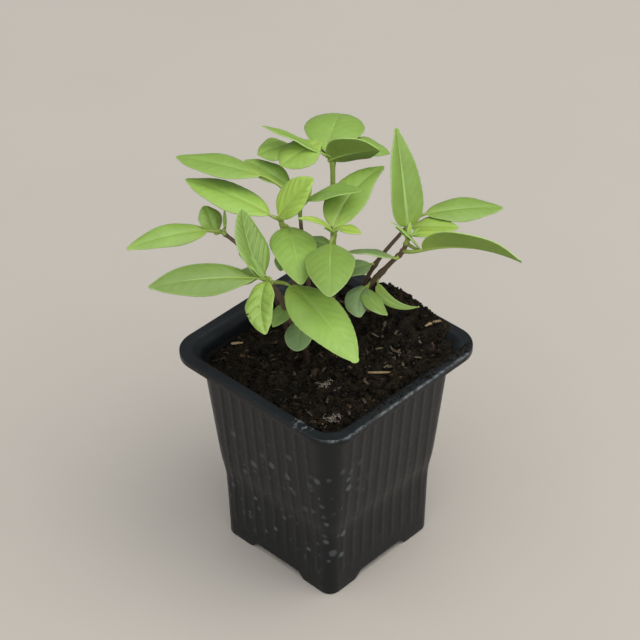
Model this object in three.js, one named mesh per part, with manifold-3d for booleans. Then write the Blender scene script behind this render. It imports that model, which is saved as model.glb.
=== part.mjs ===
// Potted Thai basil: a bushy young plant of eight leafy stems in a square nursery pot.
// Millimetres, +Z up. The origin is the middle of the pot's foot, and the pot's sides lie along X and Y.
import * as THREE from 'three';
import Module from 'manifold-3d';
import { mergeVertices } from 'three/addons/utils/BufferGeometryUtils.js';

const wasm = await Module();
wasm.setup();

// Pot: a thin-walled square pot with a wide flat rim, a soft shoulder below the middle and four feet
const potHeight = 100;
const rimHalf = 45.8;
const rimCorner = 12.5;
const openingHalf = 40.6;
const openingCorner = 8.5;
const neckHalf = 38;
const neckCorner = 9;
const neckHeight = 93;
const shoulderHalf = 33.5;
const shoulderCorner = 7;
const shoulderHeight = 43;
const shoulderDrop = 9.5;
const shoulderStep = 2;
const baseHalf = 30.9;
const baseCorner = 5;
const wall = 1;
const floorThick = 1.3;
const footHeight = 3;
const footTaper = 0.2;
const archWidth = 32;
const archSlope = 6;
const lipDrop = 3.2;
const lipThick = 1.3;
const ribCount = 9;
const ribPitch = 6;
const ribWidth = 1.3;
const ribProud = 0.45;
const ribBottom = 8;
const ribTop = 90;
const drainRadius = 3.5;
const drainReach = 21;

// Soil: a crumbly fill that slopes up to the right and is heaped against the back right rim
const clearance = 0.35;
const soilLevel = 94;
const soilSlopeRight = 0.07;
const soilSlopeBack = 0.05;
const soilRings = 7;
const heap = { right: 27, back: 21, height: 7, spread: 9 };
const crown = { height: 2, spread: 15 };
const lump = 0.45;

// Plant: it is set out in its own frame, turned on the pot, with x to its right and y to its back
const plantTurn = THREE.MathUtils.degToRad(44);
const stemRoot = 81;
const stemCollar = 99;
const stemSides = 6;
const petioleRadius = 0.65;
const petioleSides = 5;
const bladeThick = 0.7;
const bladeTipHalf = 0.3;
const toothDepth = 0.035;

const colours = {
  pot: 0x23272a,
  soil: 0x2b2019,
  straw: 0xb08a56,
  pale: 0x8d8069,
  leaf: 0x7fae4d,
};

// Each leafy stem: the points that its centre line bends through above the soil, its radius at the
// collar and its leaves. A leaf is its blade's root, the compass heading and rise of the line from
// root to tip in degrees, and its length and width in millimetres. droop and bend are how much the
// midrib turns down and sideways on the way, fold lifts both halves, roll tips the blade over to its
// right, widest is how far along it is widest, full rounds its outline and from is its stalk's height
// on the stem, 1 being the top.
const shoots = [
  {
    name: 'front_left_stem',
    foot: [-8, -4],
    line: [[-14, -10, 120], [-19, -14, 138], [-22, -17, 146.5]],
    radius: 1.2,
    leaves: [
      {
        root: [-27, -18, 148], heading: 190, rise: 2, length: 42, width: 15,
        roll: -22, widest: 0.5, full: 0.8,
      },
      {
        root: [-25.5, -16, 147], heading: 110, rise: 40, length: 28, width: 17,
        fold: 32, roll: 22, bend: -35, widest: 0.36, full: 0.7,
      },
      { root: [-24, -17, 147], heading: 165, rise: 45, length: 14, width: 7, fold: 30, small: true },
      {
        root: [-23, -18, 146], heading: 270, rise: -18, length: 25, width: 13,
        fold: 25, roll: 20, bend: 40, full: 0.7, bite: { along: 0.66, side: -1 },
      },
      {
        root: [-14, -14, 141], heading: 305, rise: -12, length: 46, width: 20,
        droop: 30, fold: 5, roll: 5, widest: 0.42, from: 0.9,
      },
      { root: [-15, -10, 129], heading: 235, rise: -25, length: 11.5, width: 8, from: 0.6, small: true },
      {
        root: [-9.8, -9, 121], heading: 262, rise: -20, length: 15.5, width: 11,
        widest: 0.55, full: 0.55, from: 0.35, small: true,
      },
    ],
  },
  {
    name: 'far_left_stem',
    foot: [-14, 2],
    line: [[-22, 6, 125], [-30, 10, 138], [-37, 14, 143], [-41.5, 15, 146.5]],
    radius: 1,
    leaves: [
      {
        root: [-47, 14, 147.5], heading: 202, rise: 1, length: 34, width: 11,
        droop: 30, roll: -18, widest: 0.42,
      },
      {
        root: [-44, 15, 146], heading: 120, rise: 42, length: 12, width: 10,
        droop: 60, full: 0.65, small: true,
      },
      { root: [-26, -2, 142], heading: 235, rise: -5, length: 14, width: 9, from: 0.5, small: true },
      {
        root: [-39.8, 15, 147], heading: 85, rise: 85, length: 10, width: 1.6,
        droop: 10, from: 0.9, small: true,
      },
    ],
  },
  {
    name: 'left_stem',
    foot: [-8, 6],
    line: [[-13, 8, 130], [-17.5, 12.5, 154]],
    radius: 1.1,
    leaves: [
      { root: [-22, 12, 156.5], heading: 150, rise: 6, length: 39, width: 17 },
      { root: [-18, 10, 156.5], heading: 2, rise: 53, length: 23, width: 15, fold: 20, roll: 30 },
      {
        root: [-14.5, 11, 151], heading: 278, rise: -2, length: 37, width: 18,
        droop: 40, fold: 5, widest: 0.35, full: 0.65, from: 0.95,
      },
      { root: [-15, 5, 143], heading: 250, rise: -20, length: 9, width: 8, from: 0.75, small: true },
    ],
  },
  {
    name: 'middle_stem',
    foot: [-3, 10],
    line: [[-8, 12, 130], [-10, 14, 157]],
    radius: 1,
    leaves: [
      {
        root: [-25, 24, 167], heading: 158, rise: 0, length: 37, width: 15,
        droop: 15, widest: 0.48, full: 0.72,
      },
      { root: [-14, 22, 163], heading: 142, rise: 8, length: 23, width: 12, fold: 20 },
      { root: [-7, 14, 162], heading: 328, rise: 28, length: 28, width: 13, fold: 20, widest: 0.42 },
      { root: [-10, 16, 157], heading: 60, rise: 55, length: 13, width: 7, small: true },
    ],
  },
  {
    name: 'centre_stem',
    foot: [2, 2],
    line: [[3, 0, 130], [3.5, -1, 156]],
    radius: 1.1,
    leaves: [
      {
        root: [3.5, 0, 158.5], heading: 45, rise: 27, length: 33, width: 17.5,
        droop: 10, fold: 15, bend: -60, widest: 0.42,
      },
      {
        root: [2, -6, 155], heading: 269, rise: 2, length: 36, width: 19,
        droop: 40, fold: 5, widest: 0.42, full: 0.65,
      },
      {
        root: [3, -2, 158], heading: 195, rise: 33, length: 17, width: 5,
        droop: 40, fold: 30, small: true,
      },
      { root: [5, -1, 159], heading: 335, rise: 2, length: 10, width: 6, fold: 20, small: true },
      { root: [3, 1, 148], heading: 150, rise: 2, length: 13, width: 8, from: 0.85, small: true },
    ],
  },
  {
    name: 'tall_back_stem',
    foot: [0, 14],
    line: [[3, 20, 130], [3.3, 28, 171]],
    radius: 1.3,
    leaves: [
      {
        root: [1, 29, 175], heading: 78, rise: -4, length: 32, width: 24,
        droop: 60, fold: 5, widest: 0.5, full: 0.6,
      },
      {
        root: [2, 27, 172], heading: 335, rise: 26, length: 24, width: 18,
        fold: 15, roll: -60, widest: 0.42, full: 0.7, crown: 0,
      },
      { root: [8, 34, 175], heading: 355, rise: -12, length: 19, width: 12, droop: 40 },
      { root: [0, 28, 174], heading: 155, rise: 13, length: 28, width: 10, fold: 15, roll: 26 },
      { root: [-1, 34, 176.5], heading: 212, rise: -14, length: 20, width: 18, widest: 0.55 },
      { root: [-14.5, 38, 172.5], heading: 200, rise: -10, length: 13, width: 16, small: true },
    ],
  },
  {
    name: 'right_stem',
    foot: [5, 12],
    line: [[12, 8.5, 114], [18.5, 7, 126], [26, 2.5, 139.5], [30.5, 0, 147], [32.5, 0, 153]],
    radius: 1.2,
    leaves: [
      {
        root: [32, 4, 156], heading: 102, rise: 60, length: 39, width: 17,
        fold: 30, roll: 20, widest: 0.3,
      },
      {
        root: [38, -6, 151.5], heading: 340, rise: 5, length: 41, width: 16,
        droop: 45, fold: 35, roll: -47, widest: 0.35, crown: 0, from: 0.8,
      },
      {
        root: [27, -1, 144.3], heading: 168, rise: 0, length: 20, width: 8,
        droop: 45, roll: 20, from: 0.72,
      },
      { root: [34, 2, 153], heading: 345, rise: 10, length: 13, width: 5, fold: 20, small: true },
      {
        root: [37, -3, 150], heading: 160, rise: 40, length: 16, width: 5,
        fold: 20, roll: 30, from: 0.92, small: true,
      },
      {
        root: [16.2, 6, 125], heading: 260, rise: -20, length: 15.5, width: 10.5,
        bend: 75, widest: 0.45, full: 0.65, from: 0.45, small: true,
      },
      {
        root: [16.8, 5, 124.5], heading: 303, rise: -15, length: 15.5, width: 8,
        bend: 60, from: 0.45, small: true,
      },
      {
        root: [20.9, 5, 127], heading: 353, rise: -31, length: 22.5, width: 4.5,
        droop: -103, roll: 60, widest: 0.3, full: 1, from: 0.5, small: true,
      },
    ],
  },
  {
    name: 'back_right_stem',
    foot: [8, 16],
    line: [[20, 14, 130], [35, 14, 152]],
    radius: 1,
    leaves: [
      { root: [40, 15, 154], heading: 12, rise: -4, length: 32, width: 13.5, roll: 8 },
      { root: [34, 10, 151], heading: 355, rise: 2, length: 19, width: 12, fold: 15 },
      {
        root: [18, 13, 131], heading: 200, rise: -5, length: 13, width: 10,
        full: 0.6, from: 0.5, small: true,
      },
    ],
  },
];

// Bits of straw and wood fibre that lie on the soil, and one on the rim, in the plant's frame
const chips = [
  { name: 'straw_front', at: [21, -13], heading: 0, length: 11, width: 1.4, thick: 1, colour: 'straw' },
  { name: 'straw_left', at: [-36.5, 11], heading: 10, length: 5, width: 1.4, thick: 1, colour: 'straw' },
  {
    name: 'straw_on_rim', at: [43.6, 13.4], heading: 28, length: 7.5, width: 1.7, thick: 1,
    colour: 'straw', onRim: true,
  },
  { name: 'fibre_front', at: [-1, -19], heading: 30, length: 5, width: 3, thick: 1.4, colour: 'pale' },
  { name: 'fibre_near_corner', at: [2, -38], heading: 20, length: 6, width: 3, thick: 1.4, colour: 'pale' },
];

const rad = THREE.MathUtils.degToRad;
const lerp = THREE.MathUtils.lerp;

// A closed skin over rings of points, each with the same number of points, turning anticlockwise
// seen from the last ring back to the first, and closed at both ends by a fan
function skin(rings) {
  const sides = rings[0].length;
  const positions = rings.flat().flatMap((p) => [p.x, p.y, p.z]);
  const index = [];
  for (let i = 0; i + 1 < rings.length; i += 1) {
    for (let j = 0; j < sides; j += 1) {
      const a = i * sides + j;
      const b = i * sides + ((j + 1) % sides);
      index.push(a, b, b + sides, a, b + sides, a + sides);
    }
  }
  const cap = (ring, flip) => {
    const middle = positions.length / 3;
    const centre = new THREE.Vector3();
    rings[ring].forEach((p) => centre.addScaledVector(p, 1 / sides));
    positions.push(centre.x, centre.y, centre.z);
    for (let j = 0; j < sides; j += 1) {
      const a = ring * sides + j;
      const b = ring * sides + ((j + 1) % sides);
      index.push(...(flip ? [middle, b, a] : [middle, a, b]));
    }
  };
  cap(0, true);
  cap(rings.length - 1, false);
  const geometry = new THREE.BufferGeometry();
  geometry.setAttribute('position', new THREE.Float32BufferAttribute(positions, 3));
  geometry.setIndex(index);
  return geometry;
}

function toSolid(geometry) {
  const bare = geometry.clone();
  bare.deleteAttribute('normal');
  bare.deleteAttribute('uv');
  const merged = mergeVertices(bare);
  return new wasm.Manifold(new wasm.Mesh({
    numProp: 3,
    vertProperties: new Float32Array(merged.attributes.position.array),
    triVerts: new Uint32Array(merged.index.array),
  }));
}

function toGeometry(solid) {
  const mesh = solid.getMesh();
  const geometry = new THREE.BufferGeometry();
  geometry.setAttribute('position', new THREE.BufferAttribute(mesh.vertProperties, 3));
  geometry.setIndex(new THREE.BufferAttribute(mesh.triVerts, 1));
  return geometry;
}

function fuse(geometries) {
  const solids = geometries.map(toSolid);
  return solids.slice(1).reduce((whole, solid) => whole.add(solid), solids[0]);
}

function named(name, geometry, colour, roughness) {
  geometry.computeVertexNormals();
  const material = new THREE.MeshStandardMaterial({ color: colours[colour], roughness, metalness: 0 });
  const mesh = new THREE.Mesh(geometry, material);
  mesh.name = name;
  return mesh;
}

// Rounded square, anticlockwise, with the same points at every size: so many steps to a corner
// and so many points spread along each side
const potGrid = { cornerSteps: 5, sidePoints: 1 };
const soilGrid = { cornerSteps: 3, sidePoints: 3 };
function roundedSquare(half, corner, z, { cornerSteps, sidePoints } = potGrid) {
  const ring = [];
  const middle = half - corner;
  for (let side = 0; side < 4; side += 1) {
    const turn = side * Math.PI / 2;
    const put = (x, y) => {
      const cos = Math.cos(turn);
      const sin = Math.sin(turn);
      ring.push(new THREE.Vector3(x * cos - y * sin, x * sin + y * cos, z));
    };
    for (let k = 1; k <= sidePoints; k += 1) {
      put(half, middle * (2 * k / (sidePoints + 1) - 1));
    }
    for (let k = 0; k <= cornerSteps; k += 1) {
      const angle = k / cornerSteps * Math.PI / 2;
      put(middle + corner * Math.cos(angle), middle + corner * Math.sin(angle));
    }
  }
  return ring;
}

// The outer wall's half width and corner radius at a height
const wallLine = [
  { z: footHeight, half: baseHalf, corner: baseCorner },
  { z: shoulderHeight - shoulderDrop, half: shoulderHalf - shoulderStep, corner: baseCorner },
  { z: shoulderHeight, half: shoulderHalf, corner: shoulderCorner },
  { z: neckHeight, half: neckHalf, corner: neckCorner },
];
function wallAt(z) {
  const top = wallLine.findIndex((p) => p.z >= z);
  const b = wallLine[top < 0 ? wallLine.length - 1 : Math.max(top, 1)];
  const a = wallLine[wallLine.indexOf(b) - 1];
  const t = (z - a.z) / (b.z - a.z);
  return { half: lerp(a.half, b.half, t), corner: lerp(a.corner, b.corner, t) };
}

function makePot() {
  const floorTop = footHeight + floorThick;
  const flareZ = potHeight - lipDrop;
  const flare = { half: openingHalf - 1.2, corner: openingCorner };
  const profile = [
    ...wallLine.map((p) => [p.half, p.corner, p.z]),
    [flare.half, flare.corner, flareZ + 0.6],
    [openingHalf + 0.6, openingCorner + 1, potHeight - lipThick],
    [rimHalf - lipThick, rimCorner - lipThick, potHeight - lipThick],
    [rimHalf - lipThick, rimCorner - lipThick, flareZ],
    [rimHalf - 0.1, rimCorner - 0.1, flareZ],
    [rimHalf, rimCorner, potHeight - 1],
    [rimHalf - 0.5, rimCorner - 0.4, potHeight - 0.25],
    [rimHalf - 1.3, rimCorner - 0.8, potHeight],
    [openingHalf + 0.9, openingCorner + 0.3, potHeight - 0.1],
    [openingHalf, openingCorner, potHeight - 0.7],
    [flare.half - wall, flare.corner, flareZ + 0.3],
    ...wallLine.slice(1).reverse().map((p) => [p.half - wall, p.corner - wall / 2, p.z]),
    [baseHalf - wall, baseCorner - wall / 2, floorTop],
  ];
  const shell = toSolid(skin(profile.map(([half, corner, z]) => roundedSquare(half, corner, z))));

  const slab = toSolid(skin([
    roundedSquare(baseHalf - footTaper, baseCorner, 0),
    roundedSquare(baseHalf, baseCorner, footHeight + floorThick / 2),
  ]));
  const feet = slab.subtract(toSolid(archShape())).subtract(toSolid(archShape().rotateZ(Math.PI / 2)));

  let pot = shell.add(feet);
  for (let side = 0; side < 4; side += 1) {
    for (let k = 0; k < ribCount; k += 1) {
      const rib = ribAt((k - (ribCount - 1) / 2) * ribPitch);
      pot = pot.add(toSolid(rib.rotateZ(side * Math.PI / 2)));
    }
  }
  const drains = [[0, 0], [1, 0], [0, 1], [-1, 0], [0, -1]];
  for (const [x, y] of drains) {
    const hole = new THREE.CylinderGeometry(drainRadius, drainRadius, 4 * footHeight, 12);
    hole.rotateX(Math.PI / 2).translate(x * drainReach, y * drainReach, footHeight);
    pot = pot.subtract(toSolid(hole));
  }
  return named('pot', toGeometry(pot), 'pot', 0.45);
}

// The low arch, with sloping ends, that runs under the floor from side to side between the feet
function archShape() {
  const cut = footHeight + floorThick / 4;
  const wide = archWidth / 2 + archSlope;
  const narrow = archWidth / 2 - archSlope;
  const outline = new THREE.Shape([[-wide, -cut], [wide, -cut], [narrow, cut], [-narrow, cut]].map(
    ([x, z]) => new THREE.Vector2(x, z),
  ));
  const arch = new THREE.ExtrudeGeometry(outline, { depth: 2 * rimHalf, bevelEnabled: false });
  return arch.translate(0, 0, -rimHalf).rotateX(Math.PI / 2);
}

// One fine upright rib on the side that faces +X, following the wall and its shoulder
function ribAt(y) {
  const heights = [ribBottom, shoulderHeight - shoulderDrop, shoulderHeight, ribTop];
  const rings = heights.map((z) => {
    const face = wallAt(z).half;
    return [
      new THREE.Vector3(face - 0.3, y - ribWidth / 2, z),
      new THREE.Vector3(face + ribProud, y, z),
      new THREE.Vector3(face - 0.3, y + ribWidth / 2, z),
    ];
  });
  return skin(rings);
}

// Height of the soil at a point of the plant's frame
function soilHeight(right, back) {
  const bump = (x, y, spread) => Math.exp(-(x * x + y * y) / (2 * spread * spread));
  const lumps = Math.sin(right * 0.62 + 1.3) * Math.cos(back * 0.55)
    + Math.sin(right * 0.37 - back * 0.71 + 0.4)
    + Math.cos(right * 0.9 + back * 0.8);
  return soilLevel + soilSlopeRight * right + soilSlopeBack * back
    + heap.height * bump(right - heap.right, back - heap.back, heap.spread)
    + crown.height * bump(right, back, crown.spread)
    + lump * lumps;
}

function toPlant(x, y) {
  const cos = Math.cos(plantTurn);
  const sin = Math.sin(plantTurn);
  return [x * cos + y * sin, y * cos - x * sin];
}

function makeSoil() {
  const floorTop = footHeight + floorThick + clearance;
  const sideHeights = [floorTop, shoulderHeight - shoulderDrop, shoulderHeight, neckHeight - 5];
  const rings = sideHeights.map((z) => {
    const { half, corner } = wallAt(z);
    return roundedSquare(half - wall - clearance, corner - wall / 2, z, soilGrid);
  });
  const brim = wallAt(soilLevel - 5);
  const edge = roundedSquare(brim.half - wall - clearance, brim.corner - wall / 2, 0, soilGrid);
  for (let k = 0; k < soilRings; k += 1) {
    const share = 1 - k / soilRings;
    rings.push(edge.map((p) => {
      const [right, back] = toPlant(p.x * share, p.y * share);
      return new THREE.Vector3(p.x * share, p.y * share, soilHeight(right, back));
    }));
  }
  let soil = toSolid(skin(rings));

  for (const shoot of shoots) {
    const depth = 2 * (stemCollar - stemRoot);
    const hole = new THREE.CylinderGeometry(shoot.radius + clearance, shoot.radius + clearance, depth, 10);
    hole.rotateX(Math.PI / 2).translate(...shoot.foot, stemRoot - clearance + depth / 2).rotateZ(plantTurn);
    soil = soil.subtract(toSolid(hole));
  }
  for (const chip of chips.filter((c) => !c.onRim)) {
    soil = soil.subtract(toSolid(chipShape(chip, clearance).rotateZ(plantTurn)));
  }
  return named('soil', toGeometry(soil), 'soil', 0.95);
}

// A slightly bowed splinter with tapered ends, lying half sunk in the soil or flat on the rim
function chipShape({ at, heading, length, width, thick, onRim }, grow = 0) {
  const level = onRim ? potHeight + clearance + thick / 2 : soilHeight(...at) + thick * 0.2;
  const rings = [];
  const steps = 3;
  for (let i = 0; i <= steps; i += 1) {
    const t = i / steps * 2 - 1;
    const across = width / 2 * (1 - 0.45 * t * t) + grow;
    const up = thick / 2 * (1 - 0.3 * t * t) + grow;
    const bow = onRim ? 0 : -0.25 * t * t;
    const x = t * (length / 2 + grow);
    rings.push([[1, 0], [0.6, 1], [-0.6, 1], [-1, 0], [-0.6, -1], [0.6, -1]].map(
      ([a, b]) => new THREE.Vector3(x, a * across, b * up + bow),
    ));
  }
  return skin(rings).rotateZ(rad(heading)).translate(at[0], at[1], level);
}

// A round stalk through a list of points, with a radius at each
function stalk(points, radii, sides) {
  const tangent = (i) => new THREE.Vector3().subVectors(
    points[Math.min(i + 1, points.length - 1)],
    points[Math.max(i - 1, 0)],
  ).normalize();
  let across = new THREE.Vector3(0, 1, 0).cross(tangent(0)).normalize();
  const rings = points.map((p, i) => {
    const along = tangent(i);
    across = across.clone().addScaledVector(along, -across.dot(along)).normalize();
    const side = new THREE.Vector3().crossVectors(along, across);
    return Array.from({ length: sides }, (_, j) => {
      const angle = j / sides * 2 * Math.PI;
      return p.clone()
        .addScaledVector(across, radii[i] * Math.cos(angle))
        .addScaledVector(side, radii[i] * Math.sin(angle));
    });
  });
  return skin(rings);
}

// The midrib of a leaf: its points and, at each, the directions along it, across it and up from it
function midrib({ root, heading, rise, length, droop = 20, bend = 0, roll = 0 }, steps) {
  const aim = (t) => {
    const yaw = rad(heading + bend * (t - 0.5));
    const pitch = rad(rise + droop * (0.5 - t));
    const along = new THREE.Vector3(
      Math.cos(pitch) * Math.cos(yaw),
      Math.cos(pitch) * Math.sin(yaw),
      Math.sin(pitch),
    );
    const level = new THREE.Vector3(-Math.sin(yaw), Math.cos(yaw), 0);
    const up = new THREE.Vector3().crossVectors(along, level);
    const across = level.clone().multiplyScalar(Math.cos(rad(roll))).addScaledVector(up, Math.sin(rad(roll)));
    return { along, across, up: new THREE.Vector3().crossVectors(along, across) };
  };
  const point = new THREE.Vector3(...root);
  const line = [{ point: point.clone(), ...aim(0) }];
  for (let i = 0; i < steps; i += 1) {
    point.addScaledVector(aim((i + 0.5) / steps).along, length / steps);
    line.push({ point: point.clone(), ...aim((i + 1) / steps) });
  }
  return line;
}

// A leaf blade: its halves lift by the fold and their margins curl down by the crown, and its edge
// has shallow teeth. Both faces are split into triangles alike, half a thickness off the middle.
function blade(leaf) {
  const { width, fold = 8, widest = 0.45, full = 0.75, crown: curl = 0.25, small = false } = leaf;
  const steps = small ? 6 : 10;
  const halfColumns = small ? 1 : 2;
  const columns = 2 * halfColumns;
  const line = midrib(leaf, steps);
  const skew = Math.log(0.5) / Math.log(widest);
  const middle = line.map(({ point, across, up }, i) => {
    const t = i / steps;
    const outline = Math.sin(Math.PI * Math.min(Math.max(t, 0), 1) ** skew) ** full || 0;
    const tooth = !small && i > 1 && i < steps - 1 ? 1 + toothDepth * (i % 2 ? 1 : -1) : 1;
    const half = Math.max(width / 2 * outline * tooth, bladeTipHalf);
    return Array.from({ length: columns + 1 }, (_, j) => {
      const u = j / halfColumns - 1;
      const lift = Math.abs(u) * half * Math.sin(rad(fold)) - curl * half * u * u;
      return point.clone()
        .addScaledVector(across, u * half * Math.cos(rad(fold)))
        .addScaledVector(up, lift);
    });
  });
  const at = (i, j) => middle[Math.min(Math.max(i, 0), steps)][Math.min(Math.max(j, 0), columns)];
  const faces = [1, -1].map((side) => middle.map((row, i) => row.map((p, j) => {
    const down = new THREE.Vector3().subVectors(at(i + 1, j), at(i - 1, j));
    const over = new THREE.Vector3().subVectors(at(i, j + 1), at(i, j - 1));
    return p.clone().addScaledVector(down.cross(over).normalize(), side * bladeThick / 2);
  })));
  const rowSize = columns + 1;
  const faceSize = (steps + 1) * rowSize;
  const index = [];
  for (let i = 0; i < steps; i += 1) {
    for (let j = 0; j < columns; j += 1) {
      const a = i * rowSize + j;
      const [b, c, d] = [a + 1, a + rowSize, a + rowSize + 1];
      index.push(a, c, d, a, d, b);
      index.push(...[a, d, c, a, b, d].map((v) => v + faceSize));
    }
  }
  const rim = [
    ...Array.from({ length: steps }, (_, i) => i * rowSize),
    ...Array.from({ length: columns }, (_, j) => steps * rowSize + j),
    ...Array.from({ length: steps }, (_, i) => (steps - i) * rowSize + columns),
    ...Array.from({ length: columns }, (_, j) => columns - j),
  ];
  rim.forEach((a, k) => {
    const b = rim[(k + 1) % rim.length];
    index.push(a, a + faceSize, b + faceSize, a, b + faceSize, b);
  });
  const geometry = new THREE.BufferGeometry();
  geometry.setAttribute('position', new THREE.Float32BufferAttribute(
    faces.flat(2).flatMap((p) => [p.x, p.y, p.z]),
    3,
  ));
  geometry.setIndex(index);
  return geometry;
}

// The bite that an insect took out of a leaf's margin
function biteShape(leaf) {
  const steps = 20;
  const { point, across } = midrib(leaf, steps)[Math.round(leaf.bite.along * steps)];
  const reach = leaf.width * 0.34;
  const hole = new THREE.CylinderGeometry(1.3, 1.3, 12, 8);
  hole.rotateX(Math.PI / 2);
  const centre = point.clone().addScaledVector(across, leaf.bite.side * reach);
  return hole.translate(centre.x, centre.y, centre.z);
}

// One leafy stem: its stalk from the root up, and each leaf on a stalk of its own
function makeShoot({ name, foot, line, radius, leaves }) {
  const collar = new THREE.Vector3(...foot, stemCollar);
  const curve = new THREE.CatmullRomCurve3([collar, ...line.map((p) => new THREE.Vector3(...p))]);
  const steps = 2 * line.length + 3;
  const points = [new THREE.Vector3(...foot, stemRoot), ...curve.getPoints(steps)];
  const radii = points.map((_, i) => radius * lerp(1, 0.7, Math.max(i - 1, 0) / steps));
  const parts = [stalk(points, radii, stemSides)];
  for (const leaf of leaves) {
    const start = curve.getPoint(leaf.from ?? 1);
    const root = new THREE.Vector3(...leaf.root);
    const { along } = midrib(leaf, 1)[0];
    const reach = start.distanceTo(root);
    const lead = root.clone().addScaledVector(along, -0.5 * reach);
    const end = root.clone().addScaledVector(along, Math.min(2, leaf.length / 6));
    const path = new THREE.QuadraticBezierCurve3(start, lead, root);
    const walk = [...path.getPoints(reach > 6 ? 4 : 2), end];
    const slim = leaf.small ? 0.8 : 1;
    const girth = walk.map((_, i) => petioleRadius * slim * lerp(1.25, 0.6, i / (walk.length - 1)));
    parts.push(stalk(walk, girth, petioleSides));
    parts.push(blade(leaf));
  }
  let solid = fuse(parts);
  for (const leaf of leaves.filter((l) => l.bite)) {
    solid = solid.subtract(toSolid(biteShape(leaf)));
  }
  return named(name, toGeometry(solid), 'leaf', 0.5);
}

const basil = new THREE.Group();
basil.add(makePot(), makeSoil());

const plant = new THREE.Group();
plant.rotation.z = plantTurn;
shoots.forEach((shoot) => plant.add(makeShoot(shoot)));
chips.forEach((chip) => plant.add(named(chip.name, chipShape(chip), chip.colour, 0.8)));
basil.add(plant);

export default basil;
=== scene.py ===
"""Potted Thai basil: its finished pieces and materials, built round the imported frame.

The tables give millimetres and degrees. The plant is set out in a frame of its own, turned on the pot, with
right, back and up as they are seen from its front. Every finished object is in metres in the frame's axes.
"""

import math
import random
from dataclasses import dataclass

import bmesh
import bpy
from bpy.props import FloatProperty, FloatVectorProperty, IntProperty, PointerProperty
from mathutils import Matrix, Vector, noise


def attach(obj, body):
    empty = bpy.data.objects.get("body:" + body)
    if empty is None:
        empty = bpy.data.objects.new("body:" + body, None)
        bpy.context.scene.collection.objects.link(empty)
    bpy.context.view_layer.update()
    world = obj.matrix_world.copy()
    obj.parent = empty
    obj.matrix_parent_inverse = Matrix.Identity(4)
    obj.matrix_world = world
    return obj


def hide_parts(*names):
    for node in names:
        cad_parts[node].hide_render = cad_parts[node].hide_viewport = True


bl_info = {
    "name": "Potted Thai Basil",
    "version": (1, 0, 0),
    "blender": (4, 5, 0),
    "location": "View3D > Sidebar > Basil",
    "description": "Builds a young Thai basil plant in a square nursery pot",
    "category": "Add Mesh",
}

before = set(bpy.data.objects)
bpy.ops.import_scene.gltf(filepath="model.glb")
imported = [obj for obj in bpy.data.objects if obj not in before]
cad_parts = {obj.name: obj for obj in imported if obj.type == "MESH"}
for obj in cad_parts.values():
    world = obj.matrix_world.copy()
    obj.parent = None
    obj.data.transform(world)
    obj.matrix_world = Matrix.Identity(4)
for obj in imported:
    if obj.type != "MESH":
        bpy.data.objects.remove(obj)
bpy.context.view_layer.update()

MM = 0.001
PLANT_TURN = math.radians(44)


@dataclass
class Leaf:
    """A leaf: its blade's root, the heading and rise of the line from root to tip, its length and width.

    droop and bend turn the midrib down and sideways on the way, fold lifts both halves and roll tips the
    blade to its right. widest is how far along it is widest, full rounds its outline and crown curls its
    margins down. start is the share of the stem at which its stalk leaves, and small is for the little side
    leaves. young makes it yellower and grey duller. tone makes the whole blade lighter or darker: it is
    painted light and shade, set for how brightly each leaf is lit. quilt raises the blade between its side
    veins, lean is their angle to the midrib and veins is how plainly they show. rib widens the midrib, wave
    ripples the margin, and bites gives each hole's share along, share across and radius.
    """

    root: tuple
    heading: float
    rise: float
    length: float
    width: float
    droop: float = 20
    fold: float = 8
    roll: float = 0
    bend: float = 0
    widest: float = 0.45
    full: float = 0.75
    crown: float = 0.25
    start: float = 1
    small: bool = False
    young: float = 0.2
    grey: float = 0
    quilt: float = 0.35
    lean: float = 48
    veins: float = 0.11
    # Painted light and shade: lightens or darkens the whole blade for how brightly it is lit
    tone: float = 1
    rib: float = 1
    wave: float = 0.35
    bites: tuple = ()


@dataclass
class Shoot:
    """A leafy stem: the place of its foot, the points that it bends through, its radius at the soil and its
    leaves, the share of its length at which it turns green, and the number of buds at its top.
    """

    name: str
    foot: tuple
    line: tuple
    radius: float
    leaves: tuple
    green: float = 0.84
    buds: int = 1


# Each leaf's brightness setting is painted light and shade, chosen for how brightly that leaf is lit
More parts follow.
